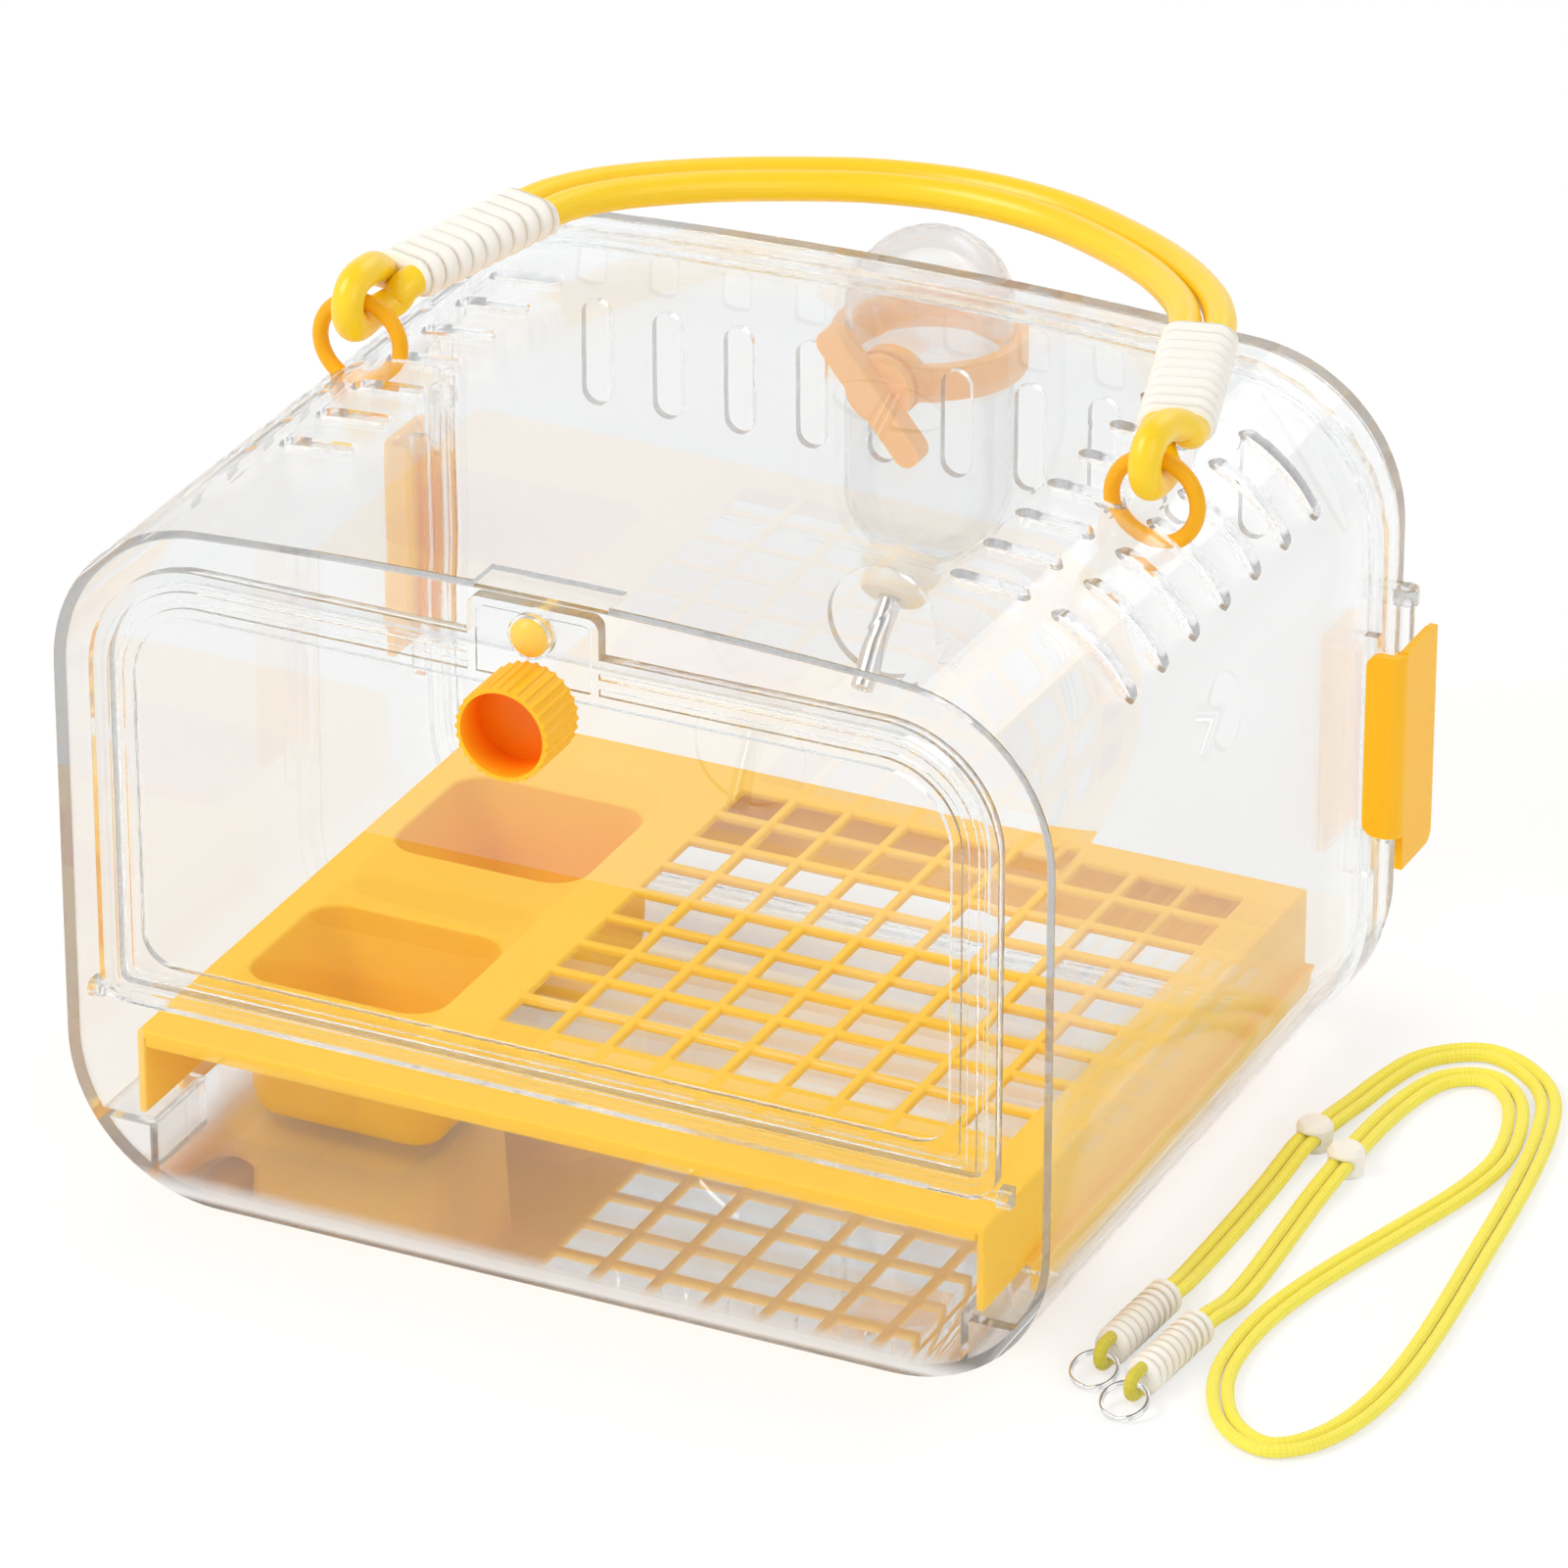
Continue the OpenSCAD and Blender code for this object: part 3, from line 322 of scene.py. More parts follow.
class Finish:
    """A procedural material in the making."""

    def __init__(self, name, colour, **constants):
        self.material = bpy.data.materials.new(name)
        self.material.use_nodes = True
        self.tree = self.material.node_tree
        self.tree.nodes.clear()
        self.output = self.add("OutputMaterial")
        named = {
            key.replace("_", " ").title().replace("Ior", "IOR"): value
            for key, value in constants.items()
        }
        self.shader = self.add("BsdfPrincipled", inputs={"Base Color": (*colour, 1), **named})
        self.surface(self.shader.outputs[0])

    def add(self, kind, settings=None, inputs=None):
        """A node of that type, with its settings and then its sockets' values or links."""
        node = self.tree.nodes.new("ShaderNode" + kind)
        for name, value in (settings or {}).items():
            if name == "stops":
                ramp = node.color_ramp.elements
                while len(ramp) < len(value):
                    ramp.new(0.5)
                for element, (place, shade) in zip(ramp, value):
                    element.position = place
                    element.color = (shade, shade, shade, 1)
            else:
                setattr(node, name, value)
        for key, value in (inputs or {}).items():
            self.feed(node.inputs[key], value)
        return node

    def feed(self, socket, value):
        """Links or sets one socket."""
        if isinstance(value, Reading):
            value = value.socket
        if isinstance(value, bpy.types.NodeSocket):
            self.tree.links.new(value, socket)
        else:
            socket.default_value = value

    def surface(self, shader):
        """Sets the material's surface shader."""
        self.feed(self.output.inputs["Surface"], shader)

    def maths(self, operation, *values):
        """A Math node on readings and numbers."""
        node = self.add("Math", {"operation": operation}, dict(enumerate(values)))
        return Reading(self, node.outputs[0])

    def read(self, node, output=0):
        """One output of a node as a reading."""
        return Reading(self, node.outputs[output])

    def place(self):
        """Object coordinates, in metres."""
        return self.add("TexCoord").outputs["Object"]

    def noise(self, scale, detail=2.0, roughness=0.5, vector=None):
        """Soft random reading from 0 to 1."""
        node = self.add("TexNoise", inputs={
            "Vector": vector or self.place(), "Scale": scale, "Detail": detail, "Roughness": roughness,
        })
        return self.read(node, "Fac")

    def along(self):
        """(Turn round a cord from 0 to 1, metres along it), from its UV map."""
        parts = self.add("SeparateXYZ", inputs={0: self.add("TexCoord").outputs["UV"]})
        return self.read(parts, 0), self.read(parts, 1)

    def mix(self, share, low, high):
        """The colour low where share is 0, and high where it is 1."""
        node = self.add("Mix", {"data_type": "RGBA"}, {0: share})
        for index, colour in ((6, low), (7, high)):
            linked = isinstance(colour, bpy.types.NodeSocket)
            self.feed(node.inputs[index], colour if linked else (*colour, 1))
        return node.outputs[2]

    def blend(self, share, low, high):
        """The shader low where share is 0, and high where it is 1."""
        return self.add("MixShader", inputs={0: share, 1: low, 2: high}).outputs[0]

    def ramp(self, reading, *stops):
        """A reading that follows stops of (place, value)."""
        return self.read(self.add("ValToRGB", {"stops": stops}, {0: reading}), "Color")

    def paint(self, colour):
        self.feed(self.shader.inputs["Base Color"], colour)

    def shine(self, roughness):
        self.feed(self.shader.inputs["Roughness"], roughness)

    def bump(self, height, distance, strength):
        """Raises the surface by a height from 0 to 1 times a distance."""
        node = self.add("Bump", inputs={"Height": height, "Distance": distance, "Strength": strength})
        self.feed(self.shader.inputs["Normal"], node.outputs[0])


def shaded(colour, factor):
    """A colour made lighter or darker."""
    return tuple(min(1.0, c * factor) for c in colour)


def moulded_plastic(name, colour, roughness, glow):
    """Satin moulded plastic: faint flow mottling, fine mould texture and handling marks."""
    finish = Finish(
        name, colour, roughness=roughness, ior=1.45, specular_ior_level=0.3,
        subsurface_weight=glow, subsurface_radius=(1.0, 0.6, 0.2), subsurface_scale=0.003,
    )
    flow = finish.noise(26, 3)
    finish.paint(finish.mix(flow, shaded(colour, 0.965), shaded(colour, 1.03)))
    grain = finish.noise(2600, 2)
    marks = finish.noise(70, 5, 0.65)
    finish.shine(marks * 0.12 + (roughness - 0.06) + grain * 0.04)
    finish.bump(grain * 0.7 + marks * 0.3, 0.00002, 0.5)
    return finish


def knob_plastic(name, colour, hollow_shade):
    """Satin plastic of the knob, with painted shade inside its hollow: strongest near the hollow's floor, fading
    towards its open end.
    """
    finish = moulded_plastic(name, colour, 0.34, 0.15)
    parts = finish.add("SeparateXYZ", inputs={0: finish.place()})
    x, y, z = (finish.read(parts, axis) for axis in range(3))
    radius = (x * x + (z - KNOB_Z) ** 2) ** 0.5
    rim = KNOB_HOLLOW * PER_RAMP
    # Painted shade: the hollow colour is mixed in within the hollow's radius, graded by depth into it
    inside = finish.ramp(radius * PER_RAMP, (rim, 1), (rim + 0.02, 0))
    depth = (y * -1 - KNOB_FLOOR) * PER_RAMP
    depth_shade = finish.ramp(depth, (0, 0), (0.03, 1), (0.15, 1), (0.62, 0.5), (0.84, 0))
    finish.paint(finish.mix(inside * depth_shade, colour, hollow_shade))
    return finish


def clear_plastic(name, tint, roughness, mirror):
    """Polished clear plastic that lamps and diffuse light pass, with a faint moulding ripple.
    With mirror, the cabin's floor also reflects what stands above it, most of all at its front."""
    finish = Finish(
        name, tint, roughness=roughness, ior=1.4, transmission_weight=1.0,
        specular_tint=(0.3, 0.3, 0.3, 1),
    )
    ripple = finish.noise(16, 1)
    finish.bump(ripple, 0.0002, 0.12)
    if mirror:
        parts = finish.add("SeparateXYZ", inputs={0: finish.place()})
        ahead = finish.ramp((finish.read(parts, "Y") + 0.15) * 3, (0.36, 1), (0.45, 0.3))
        height = finish.read(parts, "Z")
        band = finish.ramp(height * PER_RAMP, (0.06, 0), (0.16, 0.85), (0.24, 0.85), (0.6, 0))
        finish.feed(finish.shader.inputs["Metallic"], band * ahead)
    rays = finish.add("LightPath")
    through = finish.add("BsdfTransparent", inputs={"Color": (1, 1, 1, 1)}).outputs[0]
    look = finish.blend(UNBENT, finish.shader.outputs[0], through)
    for kind in ("Is Diffuse Ray", "Is Shadow Ray"):
        look = finish.blend(rays.outputs[kind], look, through)
    finish.surface(look)
    return finish


def smooth_cord(name, colour):
    """Round cord with a close sheath: fine lengthwise ribs and a soft shine."""
    finish = Finish(name, colour, roughness=0.38, ior=1.45, coat_weight=0.4, coat_roughness=0.22)
    turn, run = finish.along()
    ribs = (turn * (2 * math.pi * 26)).wave() * 0.5 + 0.5
    weave = (run * (2 * math.pi / 0.0016) + turn * (2 * math.pi * 4)).wave() * 0.5 + 0.5
    tone = finish.noise(60, 3)
    finish.paint(finish.mix(tone * 0.7 + ribs * 0.3, shaded(colour, 0.95), shaded(colour, 1.05)))
    finish.shine(tone * 0.14 + 0.32)
    finish.bump(ribs * 0.7 + weave * 0.3, 0.00005, 0.6)
    return finish


def braided_cord(name, colour, pitch):
    """Braided cord: two sets of strands that cross in a small diamond pattern."""
    finish = Finish(name, colour, roughness=0.6, ior=1.45, sheen_weight=0.25, sheen_roughness=0.4)
    turn, run = finish.along()
    step = 2 * math.pi / pitch
    left = (run * step + turn * (2 * math.pi * 5)).wave()
    right = (run * step - turn * (2 * math.pi * 5)).wave()
    cross = left * right * 0.5 + 0.5
    tone = finish.noise(90, 3)
    finish.paint(finish.mix(cross * 0.6 + tone * 0.4, shaded(colour, 0.88), shaded(colour, 1.06)))
    finish.shine(cross * -0.1 + 0.62)
    finish.bump(cross, 0.00018, 0.7)
    return finish


def wound_sleeve(name, colour, pitch):
    """Soft plastic sleeve with wound ribs: painted shade in the grooves that follow the winding, fine grain."""
    finish = Finish(name, colour, roughness=0.5, ior=1.45, subsurface_weight=0.15, subsurface_scale=0.002)
    turn, run = finish.along()
    place = (run / pitch + turn).fraction() * 2 - 1
    groove_shade = place.size() ** 5
    tone = finish.noise(120, 3)
    grain = finish.noise(3200, 2)
    # Painted shade: the grooves between the ribs take a darker beige
    finish.paint(finish.mix(groove_shade * 0.9 + tone * 0.1, colour, GROOVE_SHADE))
    finish.shine(grain * 0.12 + 0.44)
    finish.bump(grain, 0.00003, 0.5)
    return finish


def polished_steel(name):
    """Polished steel with fine drawing lines."""
    finish = Finish(name, (0.78, 0.78, 0.79), metallic=1.0, roughness=0.16)
    stretched = finish.add("Mapping", inputs={"Vector": finish.place(), "Scale": (2200, 160, 160)})
    lines = finish.noise(1.0, 2, vector=stretched.outputs[0])
    finish.paint(finish.mix(lines, (0.72, 0.72, 0.73), (0.84, 0.84, 0.85)))
    finish.shine(lines * 0.12 + 0.1)
    finish.bump(lines, 0.00001, 0.3)
    return finish


def soft_rubber(name):
    """Milky silicone of the cap's seal."""
    finish = Finish(name, (0.86, 0.86, 0.84), roughness=0.55, subsurface_weight=0.3, subsurface_scale=0.002)
    tone = finish.noise(300, 3)
    finish.shine(tone * 0.15 + 0.48)
    finish.bump(tone, 0.00003, 0.5)
    return finish


def finish_named(name):
    """The material of that name, made once."""
    made = bpy.data.materials.get(name)
    if made:
        return made
    paints, pitch = colours(), sizes().braid_pitch
    make, *values = {
        "clear_wall": (clear_plastic, paints.clear, 0.0, False),
        "clear_cabin": (clear_plastic, paints.clear, 0.0, True),
        "clear_bottle": (clear_plastic, paints.clear, 0.02, False),
        "tray_yellow": (moulded_plastic, paints.tray, 0.38, 0.2),
        "knob_moulding": (knob_plastic, paints.knob, paints.knob_hollow_shade),
        "button_yellow": (moulded_plastic, paints.button, 0.25, 0.4),
        "clip_moulding": (moulded_plastic, paints.clip, 0.36, 0.2),
        "clamp_apricot": (moulded_plastic, paints.clamp, 0.4, 0.2),
        "ring_orange": (moulded_plastic, paints.ring, 0.3, 0.1),
        "trim_white": (moulded_plastic, paints.white, 0.42, 0.2),
        "cap_white": (moulded_plastic, paints.white, 0.3, 0.3),
        "handle_sheath": (smooth_cord, paints.handle),
        "strap_braid": (braided_cord, paints.strap, pitch),
        "strap_loop_braid": (braided_cord, paints.strap_loop, pitch),
        "grip_sleeve": (wound_sleeve, paints.white, GRIP_L / GRIP_RIBS),
        "strap_sleeve": (wound_sleeve, paints.white, SLEEVE_L / SLEEVE_RIBS),
        "polished_steel": (polished_steel,),
        "seal_silicone": (soft_rubber,),
    }[name]
    return make(name, *values).material


# Meshes


def geometry_group(name, fill):
    """The geometry node group of that name, made once. fill adds its nodes between the two ends."""
    group = bpy.data.node_groups.get(name)
    if group:
        return group
    group = bpy.data.node_groups.new(name, "GeometryNodeTree")
    for way in ("INPUT", "OUTPUT"):
        group.interface.new_socket("Geometry", in_out=way, socket_type="NodeSocketGeometry")
    new, join = group.nodes.new, group.links.new
    source, result = new("NodeGroupInput"), new("NodeGroupOutput")
    join(fill(new, join, source.outputs[0]), result.inputs[0])
    return group


def shade_by_angle(new, join, geometry):
    """Nodes that shade a mesh smooth except across sharp edges."""
    angle = new("GeometryNodeInputMeshEdgeAngle")
    sharp = new("FunctionNodeCompare")
    sharp.data_type, sharp.operation = "FLOAT", "GREATER_THAN"
    sharp.inputs["B"].default_value = math.radians(32)
    faces, edges = new("GeometryNodeSetShadeSmooth"), new("GeometryNodeSetShadeSmooth")
    edges.domain = "EDGE"
    faces.inputs["Shade Smooth"].default_value = True
    edges.inputs["Shade Smooth"].default_value = False
    join(geometry, faces.inputs["Geometry"])
    join(faces.outputs[0], edges.inputs["Geometry"])
    join(angle.outputs["Unsigned Angle"], sharp.inputs["A"])
    join(sharp.outputs[0], edges.inputs["Selection"])
    return edges.outputs[0]


def drop_normals(new, join, geometry):
    """Nodes that drop imported normals."""
    drop = new("GeometryNodeRemoveAttribute")
    drop.inputs["Name"].default_value = "custom_normal"
    join(geometry, drop.inputs["Geometry"])
    return drop.outputs[0]


def add_nodes(piece, name, fill):
    """Adds a geometry nodes modifier to a piece."""
    piece.modifiers.new(name, "NODES").node_group = geometry_group(name, fill)


def round_edges(piece, rounding, segments=2):
    """Rounds a piece's sharp edges and shades it smooth, by modifiers alone."""
    add_nodes(piece, "Drop imported normals", drop_normals)
    weld = piece.modifiers.new("Weld", "WELD")
    weld.merge_threshold = 0.002 * MM
    flat = piece.modifiers.new("Flat faces", "DECIMATE")
    flat.decimate_type = "DISSOLVE"
    flat.angle_limit = math.radians(0.4)
    if rounding:
        bevel = piece.modifiers.new("Rounded edges", "BEVEL")
        bevel.width = rounding
        bevel.segments = segments
        bevel.limit_method = "ANGLE"
        bevel.angle_limit = SHARP
        bevel.use_clamp_overlap = True
    add_nodes(piece, "Shade by edge angle", shade_by_angle)
    even = piece.modifiers.new("Even shading", "WEIGHTED_NORMAL")
    even.keep_sharp = True
    return piece


def dress(node, material, rounding, segments=2):
    """Gives a CAD node its finish and rounded edges."""
    piece = NODES[node]
    piece.data.materials.clear()
    piece.data.materials.append(finish_named(material))
    return round_edges(piece, rounding, segments)


def place_piece(name, mesh, body, slot, material):
    """A new piece of the object that rides on a body."""
    piece = bpy.data.objects.new(name, mesh)
    bpy.context.scene.collection.objects.link(piece)
    mesh.materials.append(finish_named(material))
    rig.ride(piece, body)
    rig.slot(piece, slot)
    return piece


def loft(name, rings, closed=False):
    """Mesh through rings of equal counts of points, capped at both ends unless it is closed.
    Its UV map has turns round the rings across and metres along them up."""
    rings = np.asarray(rings, float)
    count, sides = rings.shape[:2]
    centres = rings.mean(axis=1)
    run = np.concatenate([[0], np.cumsum(np.linalg.norm(np.diff(centres, axis=0), axis=1))])
    spans = [(i, i + 1) for i in range(count - 1)] + ([(count - 1, 0)] if closed else [])
    faces, uvs = [], []
    for i, j in spans:
        high = run[j] if j else run[-1] + np.linalg.norm(centres[0] - centres[-1])
        for k in range(sides):
            m = (k + 1) % sides
            faces.append((i * sides + k, i * sides + m, j * sides + m, j * sides + k))
            near, far = k / sides, (k + 1) / sides
            uvs += [(near, run[i]), (far, run[i]), (far, high), (near, high)]
    if not closed:
        for ring, order in ((0, range(sides - 1, -1, -1)), (count - 1, range(sides))):
            faces.append(tuple(ring * sides + k for k in order))
            uvs += [(k / sides, run[ring]) for k in order]
    mesh = bpy.data.meshes.new(name)
    mesh.from_pydata([tuple(p) for p in rings.reshape(-1, 3)], [], faces)
    layer = mesh.uv_layers.new(name="Run")
    layer.data.foreach_set("uv", np.asarray(uvs, np.float32).ravel())
    mesh.polygons.foreach_set("use_smooth", [True] * len(mesh.polygons))
    mesh.update()
    return mesh


def smooth_route(points, steps):
    """Catmull-Rom curve through points, with a number of steps between each two."""
    p = np.asarray(points, float)
    route = []
    for i in range(len(p) - 1):
        a, b, c, d = p[max(i - 1, 0)], p[i], p[i + 1], p[min(i + 2, len(p) - 1)]
        for k in range(steps):
            t = k / steps
            route.append(0.5 * (2 * b + (c - a) * t + (2 * a - 5 * b + 4 * c - d) * t * t
                                + (3 * b - a - 3 * c + d) * t ** 3))
    return np.array(route + [p[-1]])


def route_length(route):
    """Length of a route in metres."""
    return float(np.linalg.norm(np.diff(route, axis=0), axis=1).sum())


def tangents(route):
    """Unit direction of a route at each of its points."""
    steps = np.gradient(np.asarray(route, float), axis=0)
    return steps / np.linalg.norm(steps, axis=1)[:, None]


def beside(route, distance):
    """A route moved sideways, level with the ground, as the CAD source moves it."""
    p = np.asarray(route, float)
    ahead = np.vstack([p[1:], p[-1:]]) - np.vstack([p[:1], p[:-1]])
    side = np.stack([ahead[:, 1], -ahead[:, 0], np.zeros(len(p))], axis=1)
    return p + distance * side / np.linalg.norm(side, axis=1)[:, None]


def side_frames(route, first):
    """Two side directions at each point of a route, carried along it without twist."""
    ahead = tangents(route)
    side, sides = Vector(first), []
    for direction in ahead:
        d = Vector(direction)
        side = (side - d * side.dot(d)).normalized()
        sides.append(side.copy())
    across = np.array([list(s) for s in sides])
    return across, np.cross(ahead, across)


def tube(name, route, radius, sides, first=(0, 0, 1)):
    """Round tube along a route."""
    across, up = side_frames(route, first)
    angle = np.linspace(0, 2 * math.pi, sides, endpoint=False)
    ring = np.cos(angle)[None, :, None] * across[:, None, :] + np.sin(angle)[None, :, None] * up[:, None, :]
    return loft(name, np.asarray(route)[:, None, :] + radius * ring)


def rounded_outline(half_x, half_y, corner, steps=6):
    """Rounded rectangle, anticlockwise, as points in X and Y."""
    points = []
    for quarter, (sx, sy) in enumerate([(1, 1), (-1, 1), (-1, -1), (1, -1)]):
        for k in range(steps + 1):
            a = math.pi / 2 * (quarter + k / steps)
            points.append((
                sx * (half_x - corner) + corner * math.cos(a),
                sy * (half_y - corner) + corner * math.sin(a),
            ))
    return np.array(points)


def box_between(low, high):
    """Block between two corners, as a bmesh."""
    shape = bmesh.new()
    bmesh.ops.create_cube(shape, size=1)
    bmesh.ops.transform(shape, matrix=Matrix.LocRotScale(
        (Vector(low) + Vector(high)) / 2, None, Vector(high) - Vector(low)), verts=shape.verts)
    return shape


def prism_along_y(outline, start, end):
    """Solid with an outline in X and Z between two places along Y, as a bmesh."""
    shape = bmesh.new()
    near = [shape.verts.new((x, start, z)) for x, z in outline]
    far = [shape.verts.new((x, end, z)) for x, z in outline]
    shape.faces.new(near)
    shape.faces.new(far[::-1])
    for i in range(len(outline)):
        j = (i + 1) % len(outline)
        shape.faces.new((near[j], near[i], far[i], far[j]))
    bmesh.ops.recalc_face_normals(shape, faces=shape.faces)
    return shape


def soften(shape, rounding, keep_sharp=lambda point: False):
    """Rounds a bmesh's sharp edges, except those with both ends where they stay sharp."""
    edges = [
        e for e in shape.edges
        if e.calc_face_angle(0) > SHARP and not all(keep_sharp(v.co) for v in e.verts)
    ]
    bmesh.ops.bevel(
        shape, geom=edges, offset=rounding, offset_type="OFFSET", segments=3, profile=0.5,
        affect="EDGES", clamp_overlap=False,
    )
    return shape


def one_solid(name, shapes):
    """Mesh of the union of overlapping bmeshes, which are used up."""
    pieces = []
    for shape in shapes:
        mesh = bpy.data.meshes.new(name)
        shape.to_mesh(mesh)
        shape.free()
        pieces.append(bpy.data.objects.new(name, mesh))
        bpy.context.scene.collection.objects.link(pieces[-1])
    for other in pieces[1:]:
        union = pieces[0].modifiers.new("Union", "BOOLEAN")
        union.operation, union.solver, union.object = "UNION", "EXACT", other
    graph = bpy.context.evaluated_depsgraph_get()
    whole = bpy.data.meshes.new_from_object(pieces[0].evaluated_get(graph))
    for piece in pieces:
        mesh = piece.data
        bpy.data.objects.remove(piece)
        bpy.data.meshes.remove(mesh)
    whole.name = name
    return whole


def turned(name, profile, matrix, sides=64):
    """Hollow solid turned round Z from the (radius, height) corners of its wall."""
    angle = np.linspace(0, 2 * math.pi, sides, endpoint=False)
    rings = [
        np.stack([r * np.cos(angle), r * np.sin(angle), np.full(sides, z)], axis=1)
        for r, z in profile
    ]
    mesh = loft(name, rings, closed=True)
    mesh.transform(matrix)
    return mesh


def ribbed_sleeve(name, length, half_gap, radius, ribs, depth, matrix):
    """Sleeve along X with wound ribs, round two cords side by side along Y if half_gap isn't 0."""
    around, per_rib = 48, 10
    angle = np.linspace(0, 2 * math.pi, around, endpoint=False)
    shift = np.where(np.cos(angle) >= 0, half_gap, -half_gap) * (np.abs(np.cos(angle)) > 1e-6)
    rings = []
    count = ribs * per_rib
    for i in range(count + 1):
        s = i / count
        phase = (s * ribs + angle / (2 * math.pi)) % 1.0
        crest = np.sqrt(np.clip(1 - (2 * phase - 1) ** 2, 0, 1))
        end = min(1.0, min(i, count - i) / 3)
        r = (radius - depth) + depth * crest * end - depth * (1 - end) * 0.6
        along, across, up = np.full(around, s * length), shift + r * np.cos(angle), r * np.sin(angle)
        rings.append(np.stack([along, across, up], axis=1))
    mesh = loft(name, rings)
    mesh.transform(matrix)
    return mesh


# Sizes shared with the CAD source

RING_X, RING_Y, AXIS_Z = 105.4756 * MM, 6 * MM, 193.2067 * MM
HANDLE_R, STRAND_GAP = 4 * MM, 4.25 * MM
HANDLE_MID = np.array([
    [-0.23 * RING_X, 125.5 * MM, -2.1 * MM], [0, 129 * MM, -2.1 * MM],
    [0.23 * RING_X, 125.5 * MM, -2.1 * MM], [0.435 * RING_X, 115 * MM, -1.4 * MM],
    [0.605 * RING_X, 101.5 * MM, 0],
    [RING_X - 27.5 * MM, 86 * MM, 1.6 * MM], [RING_X - 19.9 * MM, 74 * MM, 2.3 * MM],
    [RING_X - 15.9 * MM, 63.8 * MM, 2.3 * MM], [RING_X - 9.05 * MM, 40.3 * MM, 1.15 * MM],
    [RING_X - 2.2 * MM, 16.8 * MM, 0],
])
GRIP_L = float(np.linalg.norm(HANDLE_MID[-3] - HANDLE_MID[-1]))
GRIP_RIBS = 10
STRAP_R, STRAP_GAP = 1.6 * MM, 1.75 * MM
STRAP_ROUTE = np.array([
    [137, -51.2, 4.7], [137.5, -44, 4.1], [136.4, -32, 1.9], [136.5, -8, 1.7],
    [136.2, 16, 1.7], [136.4, 31, 3.1], [137.4, 39, 3.4], [138.2, 47, 3.1], [139.5, 62, 1.7],
    [145, 87, 1.7], [159, 98.5, 1.7], [174, 92, 1.7], [184, 77, 1.7], [190.5, 46, 1.7],
    [195, 4, 1.7], [199, -40, 1.7], [199, -70, 1.7], [194, -91, 1.7], [184, -101, 1.7],
    [171, -94, 1.7], [161.5, -74, 1.7], [160.5, -46, 1.7], [167, -15, 1.7], [178.5, 24, 1.7],
    [182.2, 50, 1.7], [176, 75, 1.7], [165, 86, 1.7], [154, 80, 1.7], [149.5, 62, 1.7],
    [149, 42, 2.8], [149.2, 30.5, 3.4], [149, 20, 3], [148.8, 5, 1.7], [150.5, -25, 1.7],
    [150.7, -42, 1.9], [150.2, -54, 4.1], [149.6, -61.2, 4.7],
]) * MM
SLEEVE_L, SLEEVE_R, SLEEVE_RIBS = 29 * MM, 4.7 * MM, 9
LOOP_R, LOOP_L = 2.7 * MM, 2.4 * MM
SPLIT_R, SPLIT_WIRE = 5.6 * MM, 0.8 * MM
DECK_HW, DECK_FRONT, DECK_BACK = 112.5 * MM, -101.5 * MM, 87.5 * MM
DECK_Z, DECK_T = 43 * MM, 2.4 * MM
NECK_PLACE, NECK_TILT = (-10 * MM, 131.5 * MM, 110 * MM), math.radians(45)
# Radius and height of each corner round the cap's wall
CAP_WALL = np.array([
    (7.3, 20.7), (8.6, 20.7), (9.5, 21.1), (10.1, 21.9), (10.35, 22.9), (10.35, 24.3), (10.1, 25.4),
    (9.5, 26.3), (8.8, 26.9), (8.55, 27.3), (8.7, 27.7), (8.7, 30.6), (8.55, 31.6), (8.0, 32.4),
    (7.1, 32.9), (6.0, 33), (3.1, 33), (3.1, 30.4), (7.3, 30.4),
]) * MM
KNOB_Z, KNOB_HOLLOW, KNOB_FLOOR = 157 * MM, 10.65 * MM, 115 * MM
SKIRT_T, SKIRT_STEP, SKIRT_LOW, STEP_Z = 2.2 * MM, 3 * MM, 12.8 * MM, 20.3 * MM
STEP_AHEAD, LIP_H, LIP_T, INSET = 24 * MM, 4.5 * MM, 2 * MM, 0.8 * MM
GRATE_X, GRATE_Y, GRATE_PITCH, GRATE_BAR, GRATE_COUNT = 32 * MM, 9 * MM, 15.4 * MM, 2.6 * MM, 9
CUP_X, CUP_HW, CUP_CORNER, CUP_WALL, RIM = -77.5 * MM, 26.5 * MM, 9 * MM, 1.8 * MM, 1.2 * MM
CUPS = ((44 * MM, -44 * MM), (46 * MM, 33 * MM))
# How far in from its rim a cup's outside is, at each height
CUP_STEPS = np.array([(1.54, 10.84), (2.1, 8.4), (2.86, 6.44), (4.0, 5.0), (5.5, 4.24)]) * MM

# Looks

FINE_ROUND, TUBE_ROUND = 0.3 * MM, 0.2 * MM
PER_RAMP = 80  # heights and depths up to 12.5 mm fill a colour ramp
UNBENT = 0.14  # share of the light that passes clear plastic without bending
# Painted shade in the grooves of the sleeves' ribs
GROOVE_SHADE = (0.56, 0.47, 0.33)
SEEN_FLOOR = 0.6  # share of plain white in the floor as it is seen or mirrored


